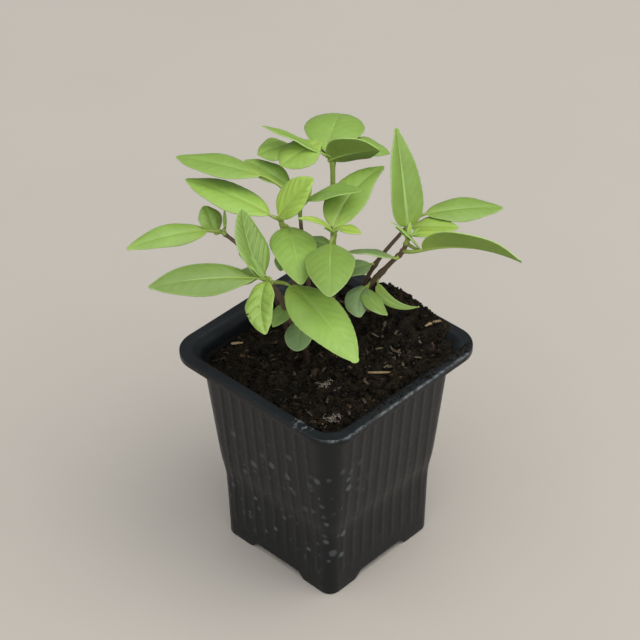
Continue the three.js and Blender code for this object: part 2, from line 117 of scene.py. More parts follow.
SHOOTS = (
    Shoot(
        "front_left",
        foot=(-8, -4),
        line=((-14, -10, 120), (-19, -14, 138), (-22, -17, 146.5)),
        radius=1.2,
        leaves=(
            Leaf((-27, -18, 148), 190, 2, 42, 15, roll=-22, widest=0.5, full=0.8, tone=0.68),
            Leaf(
                (-25.5, -16, 147), 110, 40, 28, 17, fold=32, roll=22, bend=-35, widest=0.36, full=0.7,
                quilt=1.6, lean=28, veins=1, tone=0.78,
            ),
            Leaf((-24, -17, 147), 165, 45, 14, 7, fold=30, small=True, grey=0.3),
            Leaf(
                (-23, -18, 146), 270, -18, 25, 13, fold=25, roll=20, bend=40, full=0.7,
                young=0.45, quilt=1.3, veins=0.8, tone=0.88, wave=0.9,
                bites=(
                    (0.62, -0.84, 0.9), (0.68, -0.72, 0.7), (0.75, -0.8, 0.5), (0.5, -0.12, 0.35),
                    (0.56, 0.25, 0.3), (0.35, 0.8, 0.4),
                ),
            ),
            Leaf(
                (-14, -14, 141), 305, -12, 46, 20, droop=30, fold=5, roll=5, widest=0.42, start=0.9,
                tone=1.15,
            ),
            Leaf((-15, -10, 129), 235, -25, 11.5, 8, start=0.6, small=True, grey=0.2),
            Leaf(
                (-9.8, -9, 121), 262, -20, 15.5, 11, widest=0.55, full=0.55, start=0.35,
                small=True, grey=0.8,
            ),
        ),
    ),
    Shoot(
        "far_left",
        foot=(-14, 2),
        line=((-22, 6, 125), (-30, 10, 138), (-37, 14, 143), (-41.5, 15, 146.5)),
        radius=1,
        leaves=(
            Leaf((-47, 14, 147.5), 202, 1, 34, 11, droop=30, roll=-18, widest=0.42),
            Leaf((-44, 15, 146), 120, 42, 12, 10, droop=60, full=0.65, small=True, quilt=0.8),
            Leaf((-26, -2, 142), 235, -5, 14, 9, start=0.5, small=True, grey=0.4),
            Leaf((-39.8, 15, 147), 85, 85, 10, 1.6, droop=10, start=0.9, small=True),
        ),
    ),
    Shoot(
        "left",
        foot=(-8, 6),
        line=((-13, 8, 130), (-17.5, 12.5, 154)),
        radius=1.1,
        leaves=(
            Leaf((-22, 12, 156.5), 150, 6, 39, 17, tone=1.15),
            Leaf(
                (-18, 10, 156.5), 2, 53, 23, 15, fold=20, roll=30,
                young=0.6, quilt=1.2, lean=32, veins=0.8, tone=1.2,
            ),
            Leaf((-14.5, 11, 151), 278, -2, 37, 18, droop=40, fold=5, widest=0.35, full=0.65, start=0.95),
            Leaf((-15, 5, 143), 250, -20, 9, 8, start=0.75, small=True, grey=0.3),
        ),
    ),
    Shoot(
        "middle",
        foot=(-3, 10),
        line=((-8, 12, 130), (-10, 14, 157)),
        radius=1,
        leaves=(
            Leaf((-25, 24, 167), 158, 0, 37, 15, droop=15, widest=0.48, full=0.72),
            Leaf((-14, 22, 163), 142, 8, 23, 12, fold=20),
            Leaf((-7, 14, 162), 328, 28, 28, 13, fold=20, widest=0.42, young=0.1),
            Leaf((-10, 16, 157), 60, 55, 13, 7, small=True, young=0.6),
        ),
    ),
    Shoot(
        "centre",
        foot=(2, 2),
        line=((3, 0, 130), (3.5, -1, 156)),
        radius=1.1,
        green=0.7,
        buds=3,
        leaves=(
            Leaf(
                (3.5, 0, 158.5), 45, 27, 33, 17.5, droop=10, fold=15, bend=-60, widest=0.42,
                young=0.3, rib=1.6,
            ),
            Leaf((2, -6, 155), 269, 2, 36, 19, droop=40, fold=5, widest=0.42, full=0.65, tone=0.85),
            Leaf((3, -2, 158), 195, 33, 17, 5, droop=40, fold=30, small=True, young=1),
            Leaf((5, -1, 159), 335, 2, 10, 6, fold=20, small=True, young=1),
            Leaf((3, 1, 148), 150, 2, 13, 8, start=0.85, small=True, grey=0.4),
        ),
    ),
    Shoot(
        "tall_back",
        foot=(0, 14),
        line=((3, 20, 130), (3.3, 28, 171)),
        radius=1.3,
        green=0.55,
        buds=3,
        leaves=(
            Leaf((1, 29, 175), 78, -4, 32, 24, droop=60, fold=5, widest=0.5, full=0.6),
            Leaf((2, 27, 172), 335, 26, 24, 18, fold=15, roll=-60, widest=0.42, full=0.7, crown=0, tone=0.85),
            Leaf((8, 34, 175), 355, -12, 19, 12, droop=40),
            Leaf((0, 28, 174), 155, 13, 28, 10, fold=15, roll=26),
            Leaf((-1, 34, 176.5), 212, -14, 20, 18, widest=0.55, young=0.4),
            Leaf((-14.5, 38, 172.5), 200, -10, 13, 16, small=True, young=0.3),
        ),
    ),
    Shoot(
        "right",
        foot=(5, 12),
        line=((12, 8.5, 114), (18.5, 7, 126), (26, 2.5, 139.5), (30.5, 0, 147), (32.5, 0, 153)),
        radius=1.2,
        buds=5,
        leaves=(
            Leaf((32, 4, 156), 102, 60, 39, 17, fold=30, roll=20, widest=0.3, lean=40, rib=2.2, tone=0.88),
            Leaf(
                (38, -6, 151.5), 340, 5, 41, 16, droop=45, fold=35, roll=-47, widest=0.35,
                crown=0, start=0.8,
            ),
            Leaf((27, -1, 144.3), 168, 0, 20, 8, droop=45, roll=20, start=0.72, grey=0.6),
            Leaf((34, 2, 153), 345, 10, 13, 5, fold=20, small=True, young=1),
            Leaf((37, -3, 150), 160, 40, 16, 5, fold=20, roll=30, start=0.92, small=True, young=0.4),
            Leaf(
                (16.2, 6, 125), 260, -20, 15.5, 10.5, bend=75, full=0.65, start=0.45,
                small=True, grey=0.8,
            ),
            Leaf((16.8, 5, 124.5), 303, -15, 15.5, 8, bend=60, start=0.45, small=True, grey=0.1),
            Leaf(
                (20.9, 5, 127), 353, -31, 22.5, 4.5, droop=-103, roll=60, widest=0.3, full=1,
                start=0.5, small=True,
            ),
        ),
    ),
    Shoot(
        "back_right",
        foot=(8, 16),
        line=((20, 14, 130), (35, 14, 152)),
        radius=1,
        leaves=(
            Leaf((40, 15, 154), 12, -4, 32, 13.5, roll=8, tone=0.86),
            Leaf((34, 10, 151), 355, 2, 19, 12, fold=15, young=0.6),
            Leaf((18, 13, 131), 200, -5, 13, 10, full=0.6, start=0.5, small=True, grey=0.6),
        ),
    ),
)

# Straws and lumps of fibre: name, place right and back, heading, length and width
STRAWS = (
    ("straw_front", (21, -13), 0, 11, 1.4),
    ("straw_left", (-36.5, 11), 10, 5, 1.4),
    ("straw_on_rim", (43.6, 13.4), 28, 7.5, 1.7),
)
FIBRE_LUMPS = (
    ("fibre_front", (-1, -19), 30, 5, 3),
    ("fibre_near_corner", (2, -38), 20, 6, 3),
)

# The pot's outer wall from foot to neck: half its width, its corner radius and the height
WALL_LINE = ((30.9, 5, 3), (31.5, 5, 33.5), (33.5, 7, 43), (38, 9, 93))
SHOULDER_LOW, SHOULDER_HIGH, NECK_HEIGHT = (height for _, _, height in WALL_LINE[1:])
FOOT_HEIGHT = 3
POT_HEIGHT = 100

# The rim outwards from the neck, over its lip and down into the opening: the same three, and how far each
# corner of the section is rounded off
RIM_HALF = 45.8
RIM_CORNER = 12.5
RIM_LINE = (
    (39.4, 8.5, 97.3, 0.8),
    (41.3, 9.5, 98.6, 0.6),
    (44.4, 11.1, 98.6, 0.3),
    (44.7, 11.3, 96.9, 0.2),
    (45.7, 12.4, 96.9, 0.2),
    (RIM_HALF, RIM_CORNER, POT_HEIGHT, 0.7),
    (41, 8.6, POT_HEIGHT - 0.1, 0.9),
    (38.5, 8.5, 97.1, 1),
)

SOIL_CENTRE_HEIGHT = 94
SOIL_EDGE_HEIGHT = 89
STEM_ROOT = 81
STEM_COLLAR = 99


def length_setting(name, description, mm):
    """A length that the user can change, given in millimetres"""
    return FloatProperty(name=name, description=description, default=mm * MM, unit="LENGTH")


def count_setting(name, description, number):
    """A count that the user can change"""
    return IntProperty(name=name, description=description, default=number, min=0)


def colour_setting(name, description, *value):
    """A colour that the user can change"""
    return FloatVectorProperty(name=name, description=description, default=value, subtype="COLOR")


def angle_setting(name, description, degrees):
    """An angle that the user can change, given in degrees"""
    return FloatProperty(name=name, description=description, default=math.radians(degrees), subtype="ANGLE")


class BasilPotSettings(bpy.types.PropertyGroup):
    """Sizes and colours of the pot"""

    wall: length_setting("Wall", "Thickness of the wall", 1)
    rib_pitch: length_setting("Rib pitch", "Between two ribs", 6)
    rib_width: length_setting("Rib width", "Width of a rib", 3.6)
    rib_proud: length_setting("Rib height", "How far ribs stand out", 0.2)
    ribs: IntProperty(name="Ribs", description="Ribs on each side", default=9, min=1)
    drain_radius: length_setting("Drain radius", "Of a hole", 3.5)
    drain_reach: length_setting("Drain reach", "Middle to hole", 21)
    colour: colour_setting("Colour", "Plastic", 0.0030, 0.0044, 0.0058)
    # The dust colour also paints the highlight on the rim's outer top edges
    dust_and_highlight_colour: colour_setting("Dust", "Dust and dried water", 0.19, 0.21, 0.22)
    # The inner wall's colour: earth brown and darker than the plastic, painted shade for the pot's hollow
    earth_and_shade_colour: colour_setting("Earth", "Soil dust on the inner wall", 0.0034, 0.0026, 0.0018)
    drop_strength: FloatProperty(name="Drops", description="Strength of the dried drops", default=0.42)
    rub_place: FloatVectorProperty(
        name="Rub", description="Middle of the rubbed spot on the rim", default=(0.0275, -0.041, 0.1),
        subtype="TRANSLATION", unit="LENGTH",
    )


class BasilSoilSettings(bpy.types.PropertyGroup):
    """Sizes and colours of the soil and of the bits in it"""

    mesh_size: length_setting("Mesh size", "Of the bed", 0.5)
    crumbs: count_setting("Crumbs", "Loose crumbs on the bed", 3900)
    clods: count_setting("Clods", "Larger lumps on the bed", 420)
    spilt_crumbs: count_setting("Spilt crumbs", "On the rim's back", 900)
    rim_crumbs: count_setting("Rim crumbs", "Along the rim's right side", 420)
    fibres: count_setting("Fibres", "Thin fibres on the bed", 60)
    chips: count_setting("Chips", "Flat bits of bark on the bed", 75)
    flecks: count_setting("Flecks", "Small pale bits on the bed", 90)
    pale_shreds: count_setting("Pale shreds", "Of bark, on the bed's right", 15)
    rim_flecks: count_setting("Rim flecks", "Pale bits on the rim's right edge", 45)
    colour: colour_setting("Colour", "Moist compost", 0.0110, 0.0076, 0.0036)
    dry_colour: colour_setting("Dry colour", "Dry crumbs and bark", 0.066, 0.041, 0.022)
    straw_colour: colour_setting("Straw", "Dry straw", 0.50, 0.33, 0.16)
    bark_colour: colour_setting("Bark", "Bark and root fibre", 0.085, 0.050, 0.028)
    fibre_colour: colour_setting("Fibre", "Pale wood fibre", 0.30, 0.25, 0.19)
    fleck_colour: colour_setting("Fleck", "Pale bits in the soil", 0.135, 0.118, 0.066)


class BasilPlantSettings(bpy.types.PropertyGroup):
    """Sizes and colours of the stems and leaves"""

    mesh_size: length_setting("Mesh size", "Of a blade", 0.55)
    blade: length_setting("Blade", "Thickness of a blade", 0.35)
    petiole: length_setting("Leaf stalk", "Its radius", 0.62)
    vein_gap: length_setting("Vein gap", "Between side veins", 4.6)
    mature: colour_setting("Mature leaf", "Upper face", 0.28, 0.46, 0.086)
    young: colour_setting("Young leaf", "Upper face", 0.42, 0.58, 0.08)
    grey: colour_setting("Seed leaf", "Upper face", 0.24, 0.36, 0.17)
    # The underside is a darker olive than the upper face: painted shade for undersides that face away from
    # the light
    under: colour_setting("Underside", "Lower face", 0.195, 0.30, 0.055)
    vein: colour_setting("Veins", "Midrib and side veins", 0.47, 0.63, 0.21)
    stem: colour_setting("Stem", "Ripe stem", 0.115, 0.070, 0.042)
    green_stem: colour_setting("Green stem", "Young stem", 0.27, 0.36, 0.06)


class BasilStageSettings(bpy.types.PropertyGroup):
    """The floor, light and camera"""

    floor: colour_setting("Floor", "Plain floor", 0.47, 0.425, 0.37)
    low_light: FloatProperty(name="Low light", description="Sky's strength behind the plant", default=0.17)
    top_light: FloatProperty(name="Top light", description="Sky's strength above the front", default=1.72)
    lamp: FloatProperty(name="Lamp", description="Power of the overhead lamp in watts", default=5)
    azimuth: angle_setting("Azimuth", "Camera", 44)
    elevation: angle_setting("Elevation", "Camera", 38)
    camera_roll: angle_setting("Roll", "Camera", -0.6)
    distance: length_setting("Distance", "Camera", 1049)
    aim_right: length_setting("Aim right", "Off centre", -2.4)
    aim_up: length_setting("Aim up", "Off centre", 88.98)
    lens: FloatProperty(name="Lens", description="Focal length in millimetres", default=137.1)


def smooth(value, low, high):
    """0 below low, 1 above high and a smooth rise between them"""
    share = min(max((value - low) / (high - low), 0), 1)
    return share * share * (3 - 2 * share)


def new_mesh(layer):
    """An empty mesh, and a layer that holds a number for each of its vertices"""
    bm = bmesh.new()
    return bm, bm.verts.layers.float.new(layer)


def place_mesh(bm, name):
    """Makes an object from a mesh in metres, and frees the mesh."""
    mesh = bpy.data.meshes.new(name)
    bm.to_mesh(mesh)
    bm.free()
    made = bpy.data.objects.new(name, mesh)
    bpy.context.scene.collection.objects.link(made)
    return made


def finish_piece(bm, name, materials, nodes=(), turned=False):
    """Makes a piece from a mesh in millimetres: it moves with the part and replaces the frame's nodes."""
    matrix = Matrix.Scale(MM, 4)
    if turned:
        matrix = Matrix.Rotation(PLANT_TURN, 4, "Z") @ matrix
    bmesh.ops.transform(bm, matrix=matrix, verts=bm.verts)
    piece = place_mesh(bm, name)
    piece.data.shade_smooth()
    for material in materials:
        piece.data.materials.append(material)
    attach(piece, "root")
    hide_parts(*nodes)
    return piece


def loft(bm, rings):
    """Extrudes a ring of points through the rings that follow, and gives each ring's vertices."""
    face = bm.faces.new([bm.verts.new(point) for point in rings[0]])
    rows = [list(face.verts)]
    for ring in rings[1:]:
        made = bmesh.ops.extrude_face_region(bm, geom=[face])["geom"]
        if len(rows) > 1:
            bm.faces.remove(face)
        face = next(item for item in made if isinstance(item, bmesh.types.BMFace))
        for vert, point in zip(face.verts, ring, strict=True):
            vert.co = point
        rows.append(list(face.verts))
    bmesh.ops.recalc_face_normals(bm, faces=bm.faces)
    return rows


def direction(heading, rise):
    """The way along a heading and a rise, and the level way to its left"""
    along = Vector((math.cos(rise) * math.cos(heading), math.cos(rise) * math.sin(heading), math.sin(rise)))
    return along, Vector((-math.sin(heading), math.cos(heading), 0))


def join(whole, one):
    """Adds a small mesh to a large one, and frees the small one."""
    passing = bpy.data.meshes.new("passing")
    one.to_mesh(passing)
    one.free()
    whole.from_mesh(passing)
    bpy.data.meshes.remove(passing)


# Materials

# Node groups by name, which main makes
groups = {}

# Heights on the pot in metres over which dried drops fade in at its foot, and fade out below its neck
SPLASH_START = (0.004, 0.016)
SPLASH_END = (0.082, 0.06)


def link_or_set(tree, socket, value):
    """Joins value to a socket if it comes out of a node, and else sets it there."""
    if isinstance(value, bpy.types.NodeSocket):
        tree.links.new(value, socket)
    else:
        socket.default_value = value


def add_node(tree, kind, settings=None, **values):
    """Adds a shader node, with settings for its own properties and values for its inputs by name."""
    made = tree.nodes.new("ShaderNode" + kind)
    for name, value in (settings or {}).items():
        setattr(made, name, value)
    for name, value in values.items():
        link_or_set(tree, made.inputs[name.replace("_", " ")], value)
    return made


def work_out(tree, operation, first, second=0.0, clamp=False):
    """A Math node's result"""
    made = add_node(tree, "Math", {"operation": operation, "use_clamp": clamp})
    link_or_set(tree, made.inputs[0], first)
    link_or_set(tree, made.inputs[1], second)
    return made.outputs[0]


def plus(tree, first, second):
    """The sum of two values"""
    return work_out(tree, "ADD", first, second)


def times(tree, first, *others):
    """The product of several values"""
    for other in others:
        first = work_out(tree, "MULTIPLY", first, other)
    return first


def most(tree, first, *others):
    """The largest of several values"""
    for other in others:
        first = work_out(tree, "MAXIMUM", first, other)
    return first


def measure(tree, operation, first, second):
    """The number that a Vector Math node makes of two vectors"""
    made = add_node(tree, "VectorMath", {"operation": operation})
    link_or_set(tree, made.inputs[0], first)
    link_or_set(tree, made.inputs[1], second)
    return made.outputs["Value"]


def mix_colours(tree, factor, below, above, mode="MIX"):
    """A colour Mix node's result"""
    made = add_node(tree, "Mix", {"data_type": "RGBA", "blend_type": mode})
    link_or_set(tree, made.inputs[0], factor)
    link_or_set(tree, made.inputs[6], below)
    link_or_set(tree, made.inputs[7], above)
    return made.outputs[2]


def shaded(tree, colour, strength):
    """A colour made darker or lighter, by a number that changes over the surface"""
    grey = add_node(tree, "CombineColor", Red=strength, Green=strength, Blue=strength)
    return mix_colours(tree, 1.0, colour, grey.outputs[0], "MULTIPLY")


def spread(tree, value, low, high, to_low=0.0, to_high=1.0):
    """Maps value smoothly from one range to another."""
    made = add_node(
        tree, "MapRange", {"interpolation_type": "SMOOTHSTEP"},
        Value=value, From_Min=low, From_Max=high, To_Min=to_low, To_Max=to_high,
    )
    return made.outputs[0]


def attribute(tree, name):
    """A number that the piece's mesh carries"""
    return add_node(tree, "Attribute", {"attribute_name": name}).outputs["Fac"]


def object_place(tree):
    """The place on the piece in metres"""
    return add_node(tree, "TexCoord").outputs["Object"]


def opaque(colour):
    """A colour property as a socket's four numbers"""
    return (*colour, 1.0)


def new_group(name, inputs, outputs):
    """A shader node group with named number inputs, given with their defaults, and named outputs."""
    tree = bpy.data.node_groups.new(name, "ShaderNodeTree")
    for title, value in inputs.items():
        socket = tree.interface.new_socket(title, in_out="INPUT", socket_type="NodeSocketFloat")
        socket.default_value = value
    for title in outputs:
        tree.interface.new_socket(title, in_out="OUTPUT", socket_type="NodeSocketFloat")
    given = tree.nodes.new("NodeGroupInput")
    result = tree.nodes.new("NodeGroupOutput")
    return tree, given.outputs, result.inputs


def use_group(tree, name, **values):
    """Places a node group in a material, with its inputs by name."""
    made = tree.nodes.new("ShaderNodeGroup")
    made.node_tree = groups[name]
    for title, value in values.items():
        link_or_set(tree, made.inputs[title.replace("_", " ")], value)
    return made.outputs


def mottle_group():
    """Soft uneven patches over a surface, from 0 to 1, and the same finer"""
    tree, given, result = new_group("mottle", {"Patch size": 0.01, "Contrast": 0.5}, ["Patches", "Grain"])
    place = object_place(tree)
    scale = work_out(tree, "DIVIDE", 1.0, given["Patch size"])
    fine_scale = times(tree, scale, 9.0)
    coarse = add_node(tree, "TexNoise", Vector=place, Scale=scale, Detail=3.0, Roughness=0.6)
    fine = add_node(tree, "TexNoise", Vector=place, Scale=fine_scale, Detail=2.0, Roughness=0.7)
    reach = times(tree, given["Contrast"], 0.5)
    low = work_out(tree, "SUBTRACT", 0.5, reach)
    high = plus(tree, 0.5, reach)
    tree.links.new(spread(tree, coarse.outputs["Fac"], high, low), result["Patches"])
    tree.links.new(spread(tree, fine.outputs["Fac"], high, low), result["Grain"])
    return tree


def mottled(tree, size, contrast):
    """The patches and grain of the mottle group, with the patches' size in metres"""
    made = use_group(tree, "mottle", Patch_size=size, Contrast=contrast)
    return made["Patches"], made["Grain"]


def speckle_group():
    """Scattered soft round spots, such as dried drops: Amount is the share of places that hold one"""
    tree, given, result = new_group(
        "speckle", {"Spacing": 0.006, "Spot size": 0.0012, "Amount": 0.3}, ["Spots"]
    )
    place = object_place(tree)
    wobble = add_node(tree, "TexNoise", Vector=place, Scale=900.0, Detail=1.0)
    bent = add_node(tree, "VectorMath", {"operation": "MULTIPLY_ADD"})
    link_or_set(tree, bent.inputs[0], wobble.outputs["Color"])
    link_or_set(tree, bent.inputs[1], (0.0011, 0.0011, 0.0011))
    link_or_set(tree, bent.inputs[2], place)
    scale = work_out(tree, "DIVIDE", 1.0, given["Spacing"])
    cells = add_node(tree, "TexVoronoi", Vector=bent.outputs[0], Scale=scale, Randomness=1.0)
    chance, girth, pallor = add_node(tree, "SeparateColor", Color=cells.outputs["Color"]).outputs
    holds = work_out(tree, "LESS_THAN", chance, given["Amount"])
    size = work_out(tree, "DIVIDE", given["Spot size"], given["Spacing"])
    reach = times(tree, size, plus(tree, girth, 0.35))
    spot = spread(tree, cells.outputs["Distance"], reach, times(tree, reach, 0.45))
    tree.links.new(times(tree, spot, holds, spread(tree, pallor, 0.0, 1.0, 0.35, 1.0)), result["Spots"])
    return tree


def speckled(tree, spacing, size, share):
    """The spots of the speckle group, with their spacing and size in metres"""
    return use_group(tree, "speckle", Spacing=spacing, Spot_size=size, Amount=share)["Spots"]


def vein_group(plant):
    """A blade's veins, from what its mesh carries, all in millimetres"""
    tree, given, result = new_group(
        "leaf veins", {"Midrib width": 1.0}, ["Midrib", "Side veins", "Net", "Margin"]
    )
    from_midrib = attribute(tree, "from_midrib")
    from_margin = attribute(tree, "from_margin")
    along = attribute(tree, "along_leaf")
    wide = attribute(tree, "rib_wide")
    rib_width = times(tree, spread(tree, along, 0.0, 1.0, 0.62, 0.08), wide, given["Midrib width"])
    aside = work_out(tree, "ABSOLUTE", from_midrib)
    rib = spread(tree, aside, rib_width, times(tree, rib_width, 0.35))
    plain = times(tree, plus(tree, times(tree, wide, 0.45), 0.3), spread(tree, along, 0.2, 1.0, 1.0, 0.4))
    tree.links.new(times(tree, rib, work_out(tree, "MINIMUM", plain, 1.0)), result["Midrib"])

    turn = attribute(tree, "vein_turn")
    off = work_out(tree, "ABSOLUTE", work_out(tree, "SUBTRACT", turn, work_out(tree, "ROUND", turn)))
    gap = times(tree, off, plant.vein_gap / MM)
    vein_width = spread(tree, from_margin, 0.0, 6.0, 0.125, 0.5)
    tree.links.new(
        times(tree, spread(tree, gap, vein_width, 0.0), attribute(tree, "vein_depth")), result["Side veins"]
    )

    spot = add_node(tree, "CombineXYZ", X=from_midrib, Y=attribute(tree, "leaf_length"))
    cells = add_node(tree, "TexVoronoi", {"feature": "DISTANCE_TO_EDGE"}, Vector=spot.outputs[0], Scale=1.1)
    tree.links.new(spread(tree, cells.outputs["Distance"], 0.12, 0.0), result["Net"])
    tree.links.new(spread(tree, from_margin, 0.6, 0.15), result["Margin"])
    return tree


def new_material(name):
    """An empty material and its node tree"""
    material = bpy.data.materials.new(name)
    material.use_nodes = True
    return material, material.node_tree


def bump(tree, height, strength, distance):
    """A normal that follows height"""
    return add_node(tree, "Bump", Height=height, Strength=strength, Distance=distance).outputs[0]


def set_surface(tree, colour, roughness, normal=None, gloss=0.5):
    """Joins colour, roughness and relief to a material's shader, and sets its specular level to gloss."""
    shader = tree.nodes["Principled BSDF"]
    link_or_set(tree, shader.inputs["Base Color"], colour)
    link_or_set(tree, shader.inputs["Roughness"], roughness)
    shader.inputs["Specular IOR Level"].default_value = gloss
    if normal:
        tree.links.new(normal, shader.inputs["Normal"])
    return shader


def dried_drops(tree, pot, y, z):
    """Drops that dried low on the pot, mostly on its front right side, from 0 to 1"""
    large = speckled(tree, spacing=0.0056, size=0.0018, share=0.8)
    small = speckled(tree, spacing=0.0041, size=0.0012, share=0.4)
    low = times(tree, spread(tree, z, *SPLASH_END), spread(tree, z, *SPLASH_START))
    splashed = times(tree, low, spread(tree, y, -0.008, -0.026, 0.1, 1.0))
    return times(tree, most(tree, large, times(tree, small, 0.6)), splashed, pot.drop_strength)


def rub_and_edge_highlight(tree, pot, grain):
    """The spot worn by rubbing, and a painted highlight in pale dust colour along the top outer edges of the
    rim's right side and front corner, from 0 to 1
    """
    place = object_place(tree)
    x, y, z = add_node(tree, "SeparateXYZ", Vector=place).outputs
    from_spot = measure(tree, "DISTANCE", place, pot.rub_place)
    spot = times(tree, spread(tree, from_spot, 0.007, 0.001), spread(tree, grain, 0.45, 0.75))
    # The edges are a painted highlight: the rim's crisp outer top edge is made pale where light catches it
    side_edge_highlight = spread(tree, x, (RIM_HALF - 1.5) * MM, (RIM_HALF - 0.2) * MM)
    corner_reach = 2 * (RIM_HALF - RIM_CORNER) + math.sqrt(2) * RIM_CORNER
    to_corner = work_out(tree, "SUBTRACT", x, y)
    corner_edge_highlight = spread(tree, to_corner, (corner_reach - 1.7) * MM, (corner_reach - 0.1) * MM)
    top = spread(tree, z, (POT_HEIGHT - 1.5) * MM, (POT_HEIGHT - 0.2) * MM)
    edges = times(tree, most(tree, side_edge_highlight, corner_edge_highlight), top, spread(tree, grain, 0.3, 0.75, 0.15, 0.85))
    return times(tree, most(tree, spot, edges), 0.75)


def pot_material(pot):
    """Satin black plastic with dust on what faces up, dried drops, spots worn by rubbing, a painted highlight
    on the rim's top edges and painted shade in earth brown on the inner wall
    """
    material, tree = new_material("pot_plastic")
    patches, grain = mottled(tree, size=0.02, contrast=0.8)
    place = object_place(tree)
    _, y, z = add_node(tree, "SeparateXYZ", Vector=place).outputs
    facing = add_node(tree, "NewGeometry").outputs["Normal"]
    facing_up = add_node(tree, "SeparateXYZ", Vector=facing).outputs["Z"]
    # inside marks the faces that look into the pot: they get painted shade in a darker earth-brown colour,
    # and a rough finish
    inside = spread(tree, measure(tree, "DOT_PRODUCT", facing, place), -0.004, -0.018)

    drops = dried_drops(tree, pot, y, z)
    film = times(tree, spread(tree, patches, 0.0, 1.0, 0.015, 0.06), spread(tree, facing_up, 0.2, 0.95))
    smear = speckled(tree, spacing=0.012, size=0.0032, share=0.3)
    smear = times(tree, smear, spread(tree, facing_up, 0.6, 0.9), 0.22)
    # dull holds dust, dried drops and the rubbed spot, and also the painted highlight on the rim's top edges
    dull = work_out(tree, "MAXIMUM", most(tree, drops, film, smear), rub_and_edge_highlight(tree, pot, grain), clamp=True)

    colour = mix_colours(tree, dull, opaque(pot.colour), opaque(pot.dust_and_highlight_colour))
    # Painted shade on the inner wall
    colour = mix_colours(tree, inside, colour, opaque(pot.earth_and_shade_colour))
    rough = plus(tree, spread(tree, grain, 0.0, 1.0, 0.3, 0.42), times(tree, dull, 0.35))
    rough = most(tree, rough, times(tree, inside, 0.9))
    relief = plus(tree, grain, times(tree, drops, 0.6))
    set_surface(tree, colour, rough, bump(tree, relief, 0.15, 0.0003), gloss=0.28)
    return material


def soil_material(name, soil, dryness):
    """Moist compost: dark crumbs with drier, browner ones among them. dryness moves the share of these."""
    material, tree = new_material(name)
    patches, grain = mottled(tree, size=0.006, contrast=0.6)
    blotches, _ = mottled(tree, size=0.0045, contrast=0.55)
    value = plus(tree, times(tree, patches, 0.4), dryness)
    value = plus(tree, value, times(tree, attribute(tree, "shade"), 0.6))
    dry = spread(tree, value, 0.55, 1.3)
    colour = mix_colours(tree, dry, opaque(soil.colour), opaque(soil.dry_colour))
    strength = times(
        tree, spread(tree, grain, 0.0, 1.0, 0.6, 1.2), spread(tree, blotches, 0.0, 1.0, 0.35, 1.7)
    )
    rough = spread(tree, dry, 0.0, 0.8, 0.36, 0.92)
    set_surface(tree, shaded(tree, colour, strength), rough, bump(tree, grain, 0.7, 0.0006), gloss=0.12)
    return material


def dry_bit_material(name, colour):
    """Straw, bark or pale fibre, dry and mottled"""
    material, tree = new_material(name)
    patches, grain = mottled(tree, size=0.002, contrast=0.7)
    value = plus(tree, times(tree, patches, 0.5), times(tree, attribute(tree, "shade"), 0.5))
    dark = tuple(0.4 * c for c in colour)
    tinted = mix_colours(tree, value, opaque(dark), opaque(colour))
    set_surface(tree, tinted, 0.75, bump(tree, grain, 0.5, 0.0002))
    return material


def leaf_material(name, plant, underside):
    """A leaf's upper face, or its duller underside in a darker olive that is painted shade; the leaf lets
    some light through
    """
    material, tree = new_material(name)
    veins = use_group(tree, "leaf veins", Midrib_width=1.3 if underside else 1.0)
    patches, grain = mottled(tree, size=0.007, contrast=0.7)
    # The underside's darker olive is painted shade
    ripe = opaque(plant.under if underside else plant.mature)
    colour = mix_colours(tree, attribute(tree, "young"), ripe, opaque(plant.young))
    colour = mix_colours(tree, attribute(tree, "grey"), colour, opaque(plant.grey))
    # The blade's brightness: a soft mottle times the shade it carries, which holds each leaf's painted light
    # and shade and a little random variation
    tone = times(tree, plus(tree, times(tree, patches, 0.16), 0.84), attribute(tree, "shade"))
    marks = most(
        tree,
        times(tree, veins["Net"], 0.06),
        times(tree, veins["Side veins"], 0.9 if underside else 0.65),
        times(tree, veins["Midrib"], 0.85),
        times(tree, veins["Margin"], 0.5),
    )
    colour = mix_colours(tree, marks, shaded(tree, colour, tone), opaque(plant.vein))
    smoothest, roughest = (0.56, 0.66) if underside else (0.36, 0.48)
    relief = times(tree, plus(tree, veins["Net"], veins["Side veins"]), 0.5)
    if not underside:
        relief = work_out(tree, "SUBTRACT", 1.0, relief)
    normal = bump(tree, plus(tree, relief, times(tree, grain, 0.35)), 0.22, 0.0002)
    shader = set_surface(tree, colour, spread(tree, grain, 0.0, 1.0, smoothest, roughest), normal)

    glow = mix_colours(tree, 0.5, colour, opaque(plant.young))
    through = add_node(tree, "BsdfTranslucent", Color=glow, Normal=normal)
    mixed = add_node(tree, "MixShader")
    mixed.inputs[0].default_value = 0.22
    tree.links.new(shader.outputs[0], mixed.inputs[1])
    tree.links.new(through.outputs[0], mixed.inputs[2])
    tree.links.new(mixed.outputs[0], tree.nodes["Material Output"].inputs["Surface"])
    return material


def leaf_edge_material(plant):
    """The cut edge of a blade, between the colours of its face and its veins"""
    material, tree = new_material("leaf_edge")
    patches, _ = mottled(tree, size=0.004, contrast=0.7)
    green = tuple(1.15 * c for c in plant.mature)
    set_surface(tree, mix_colours(tree, patches, opaque(green), opaque(plant.vein)), 0.45)
    return material


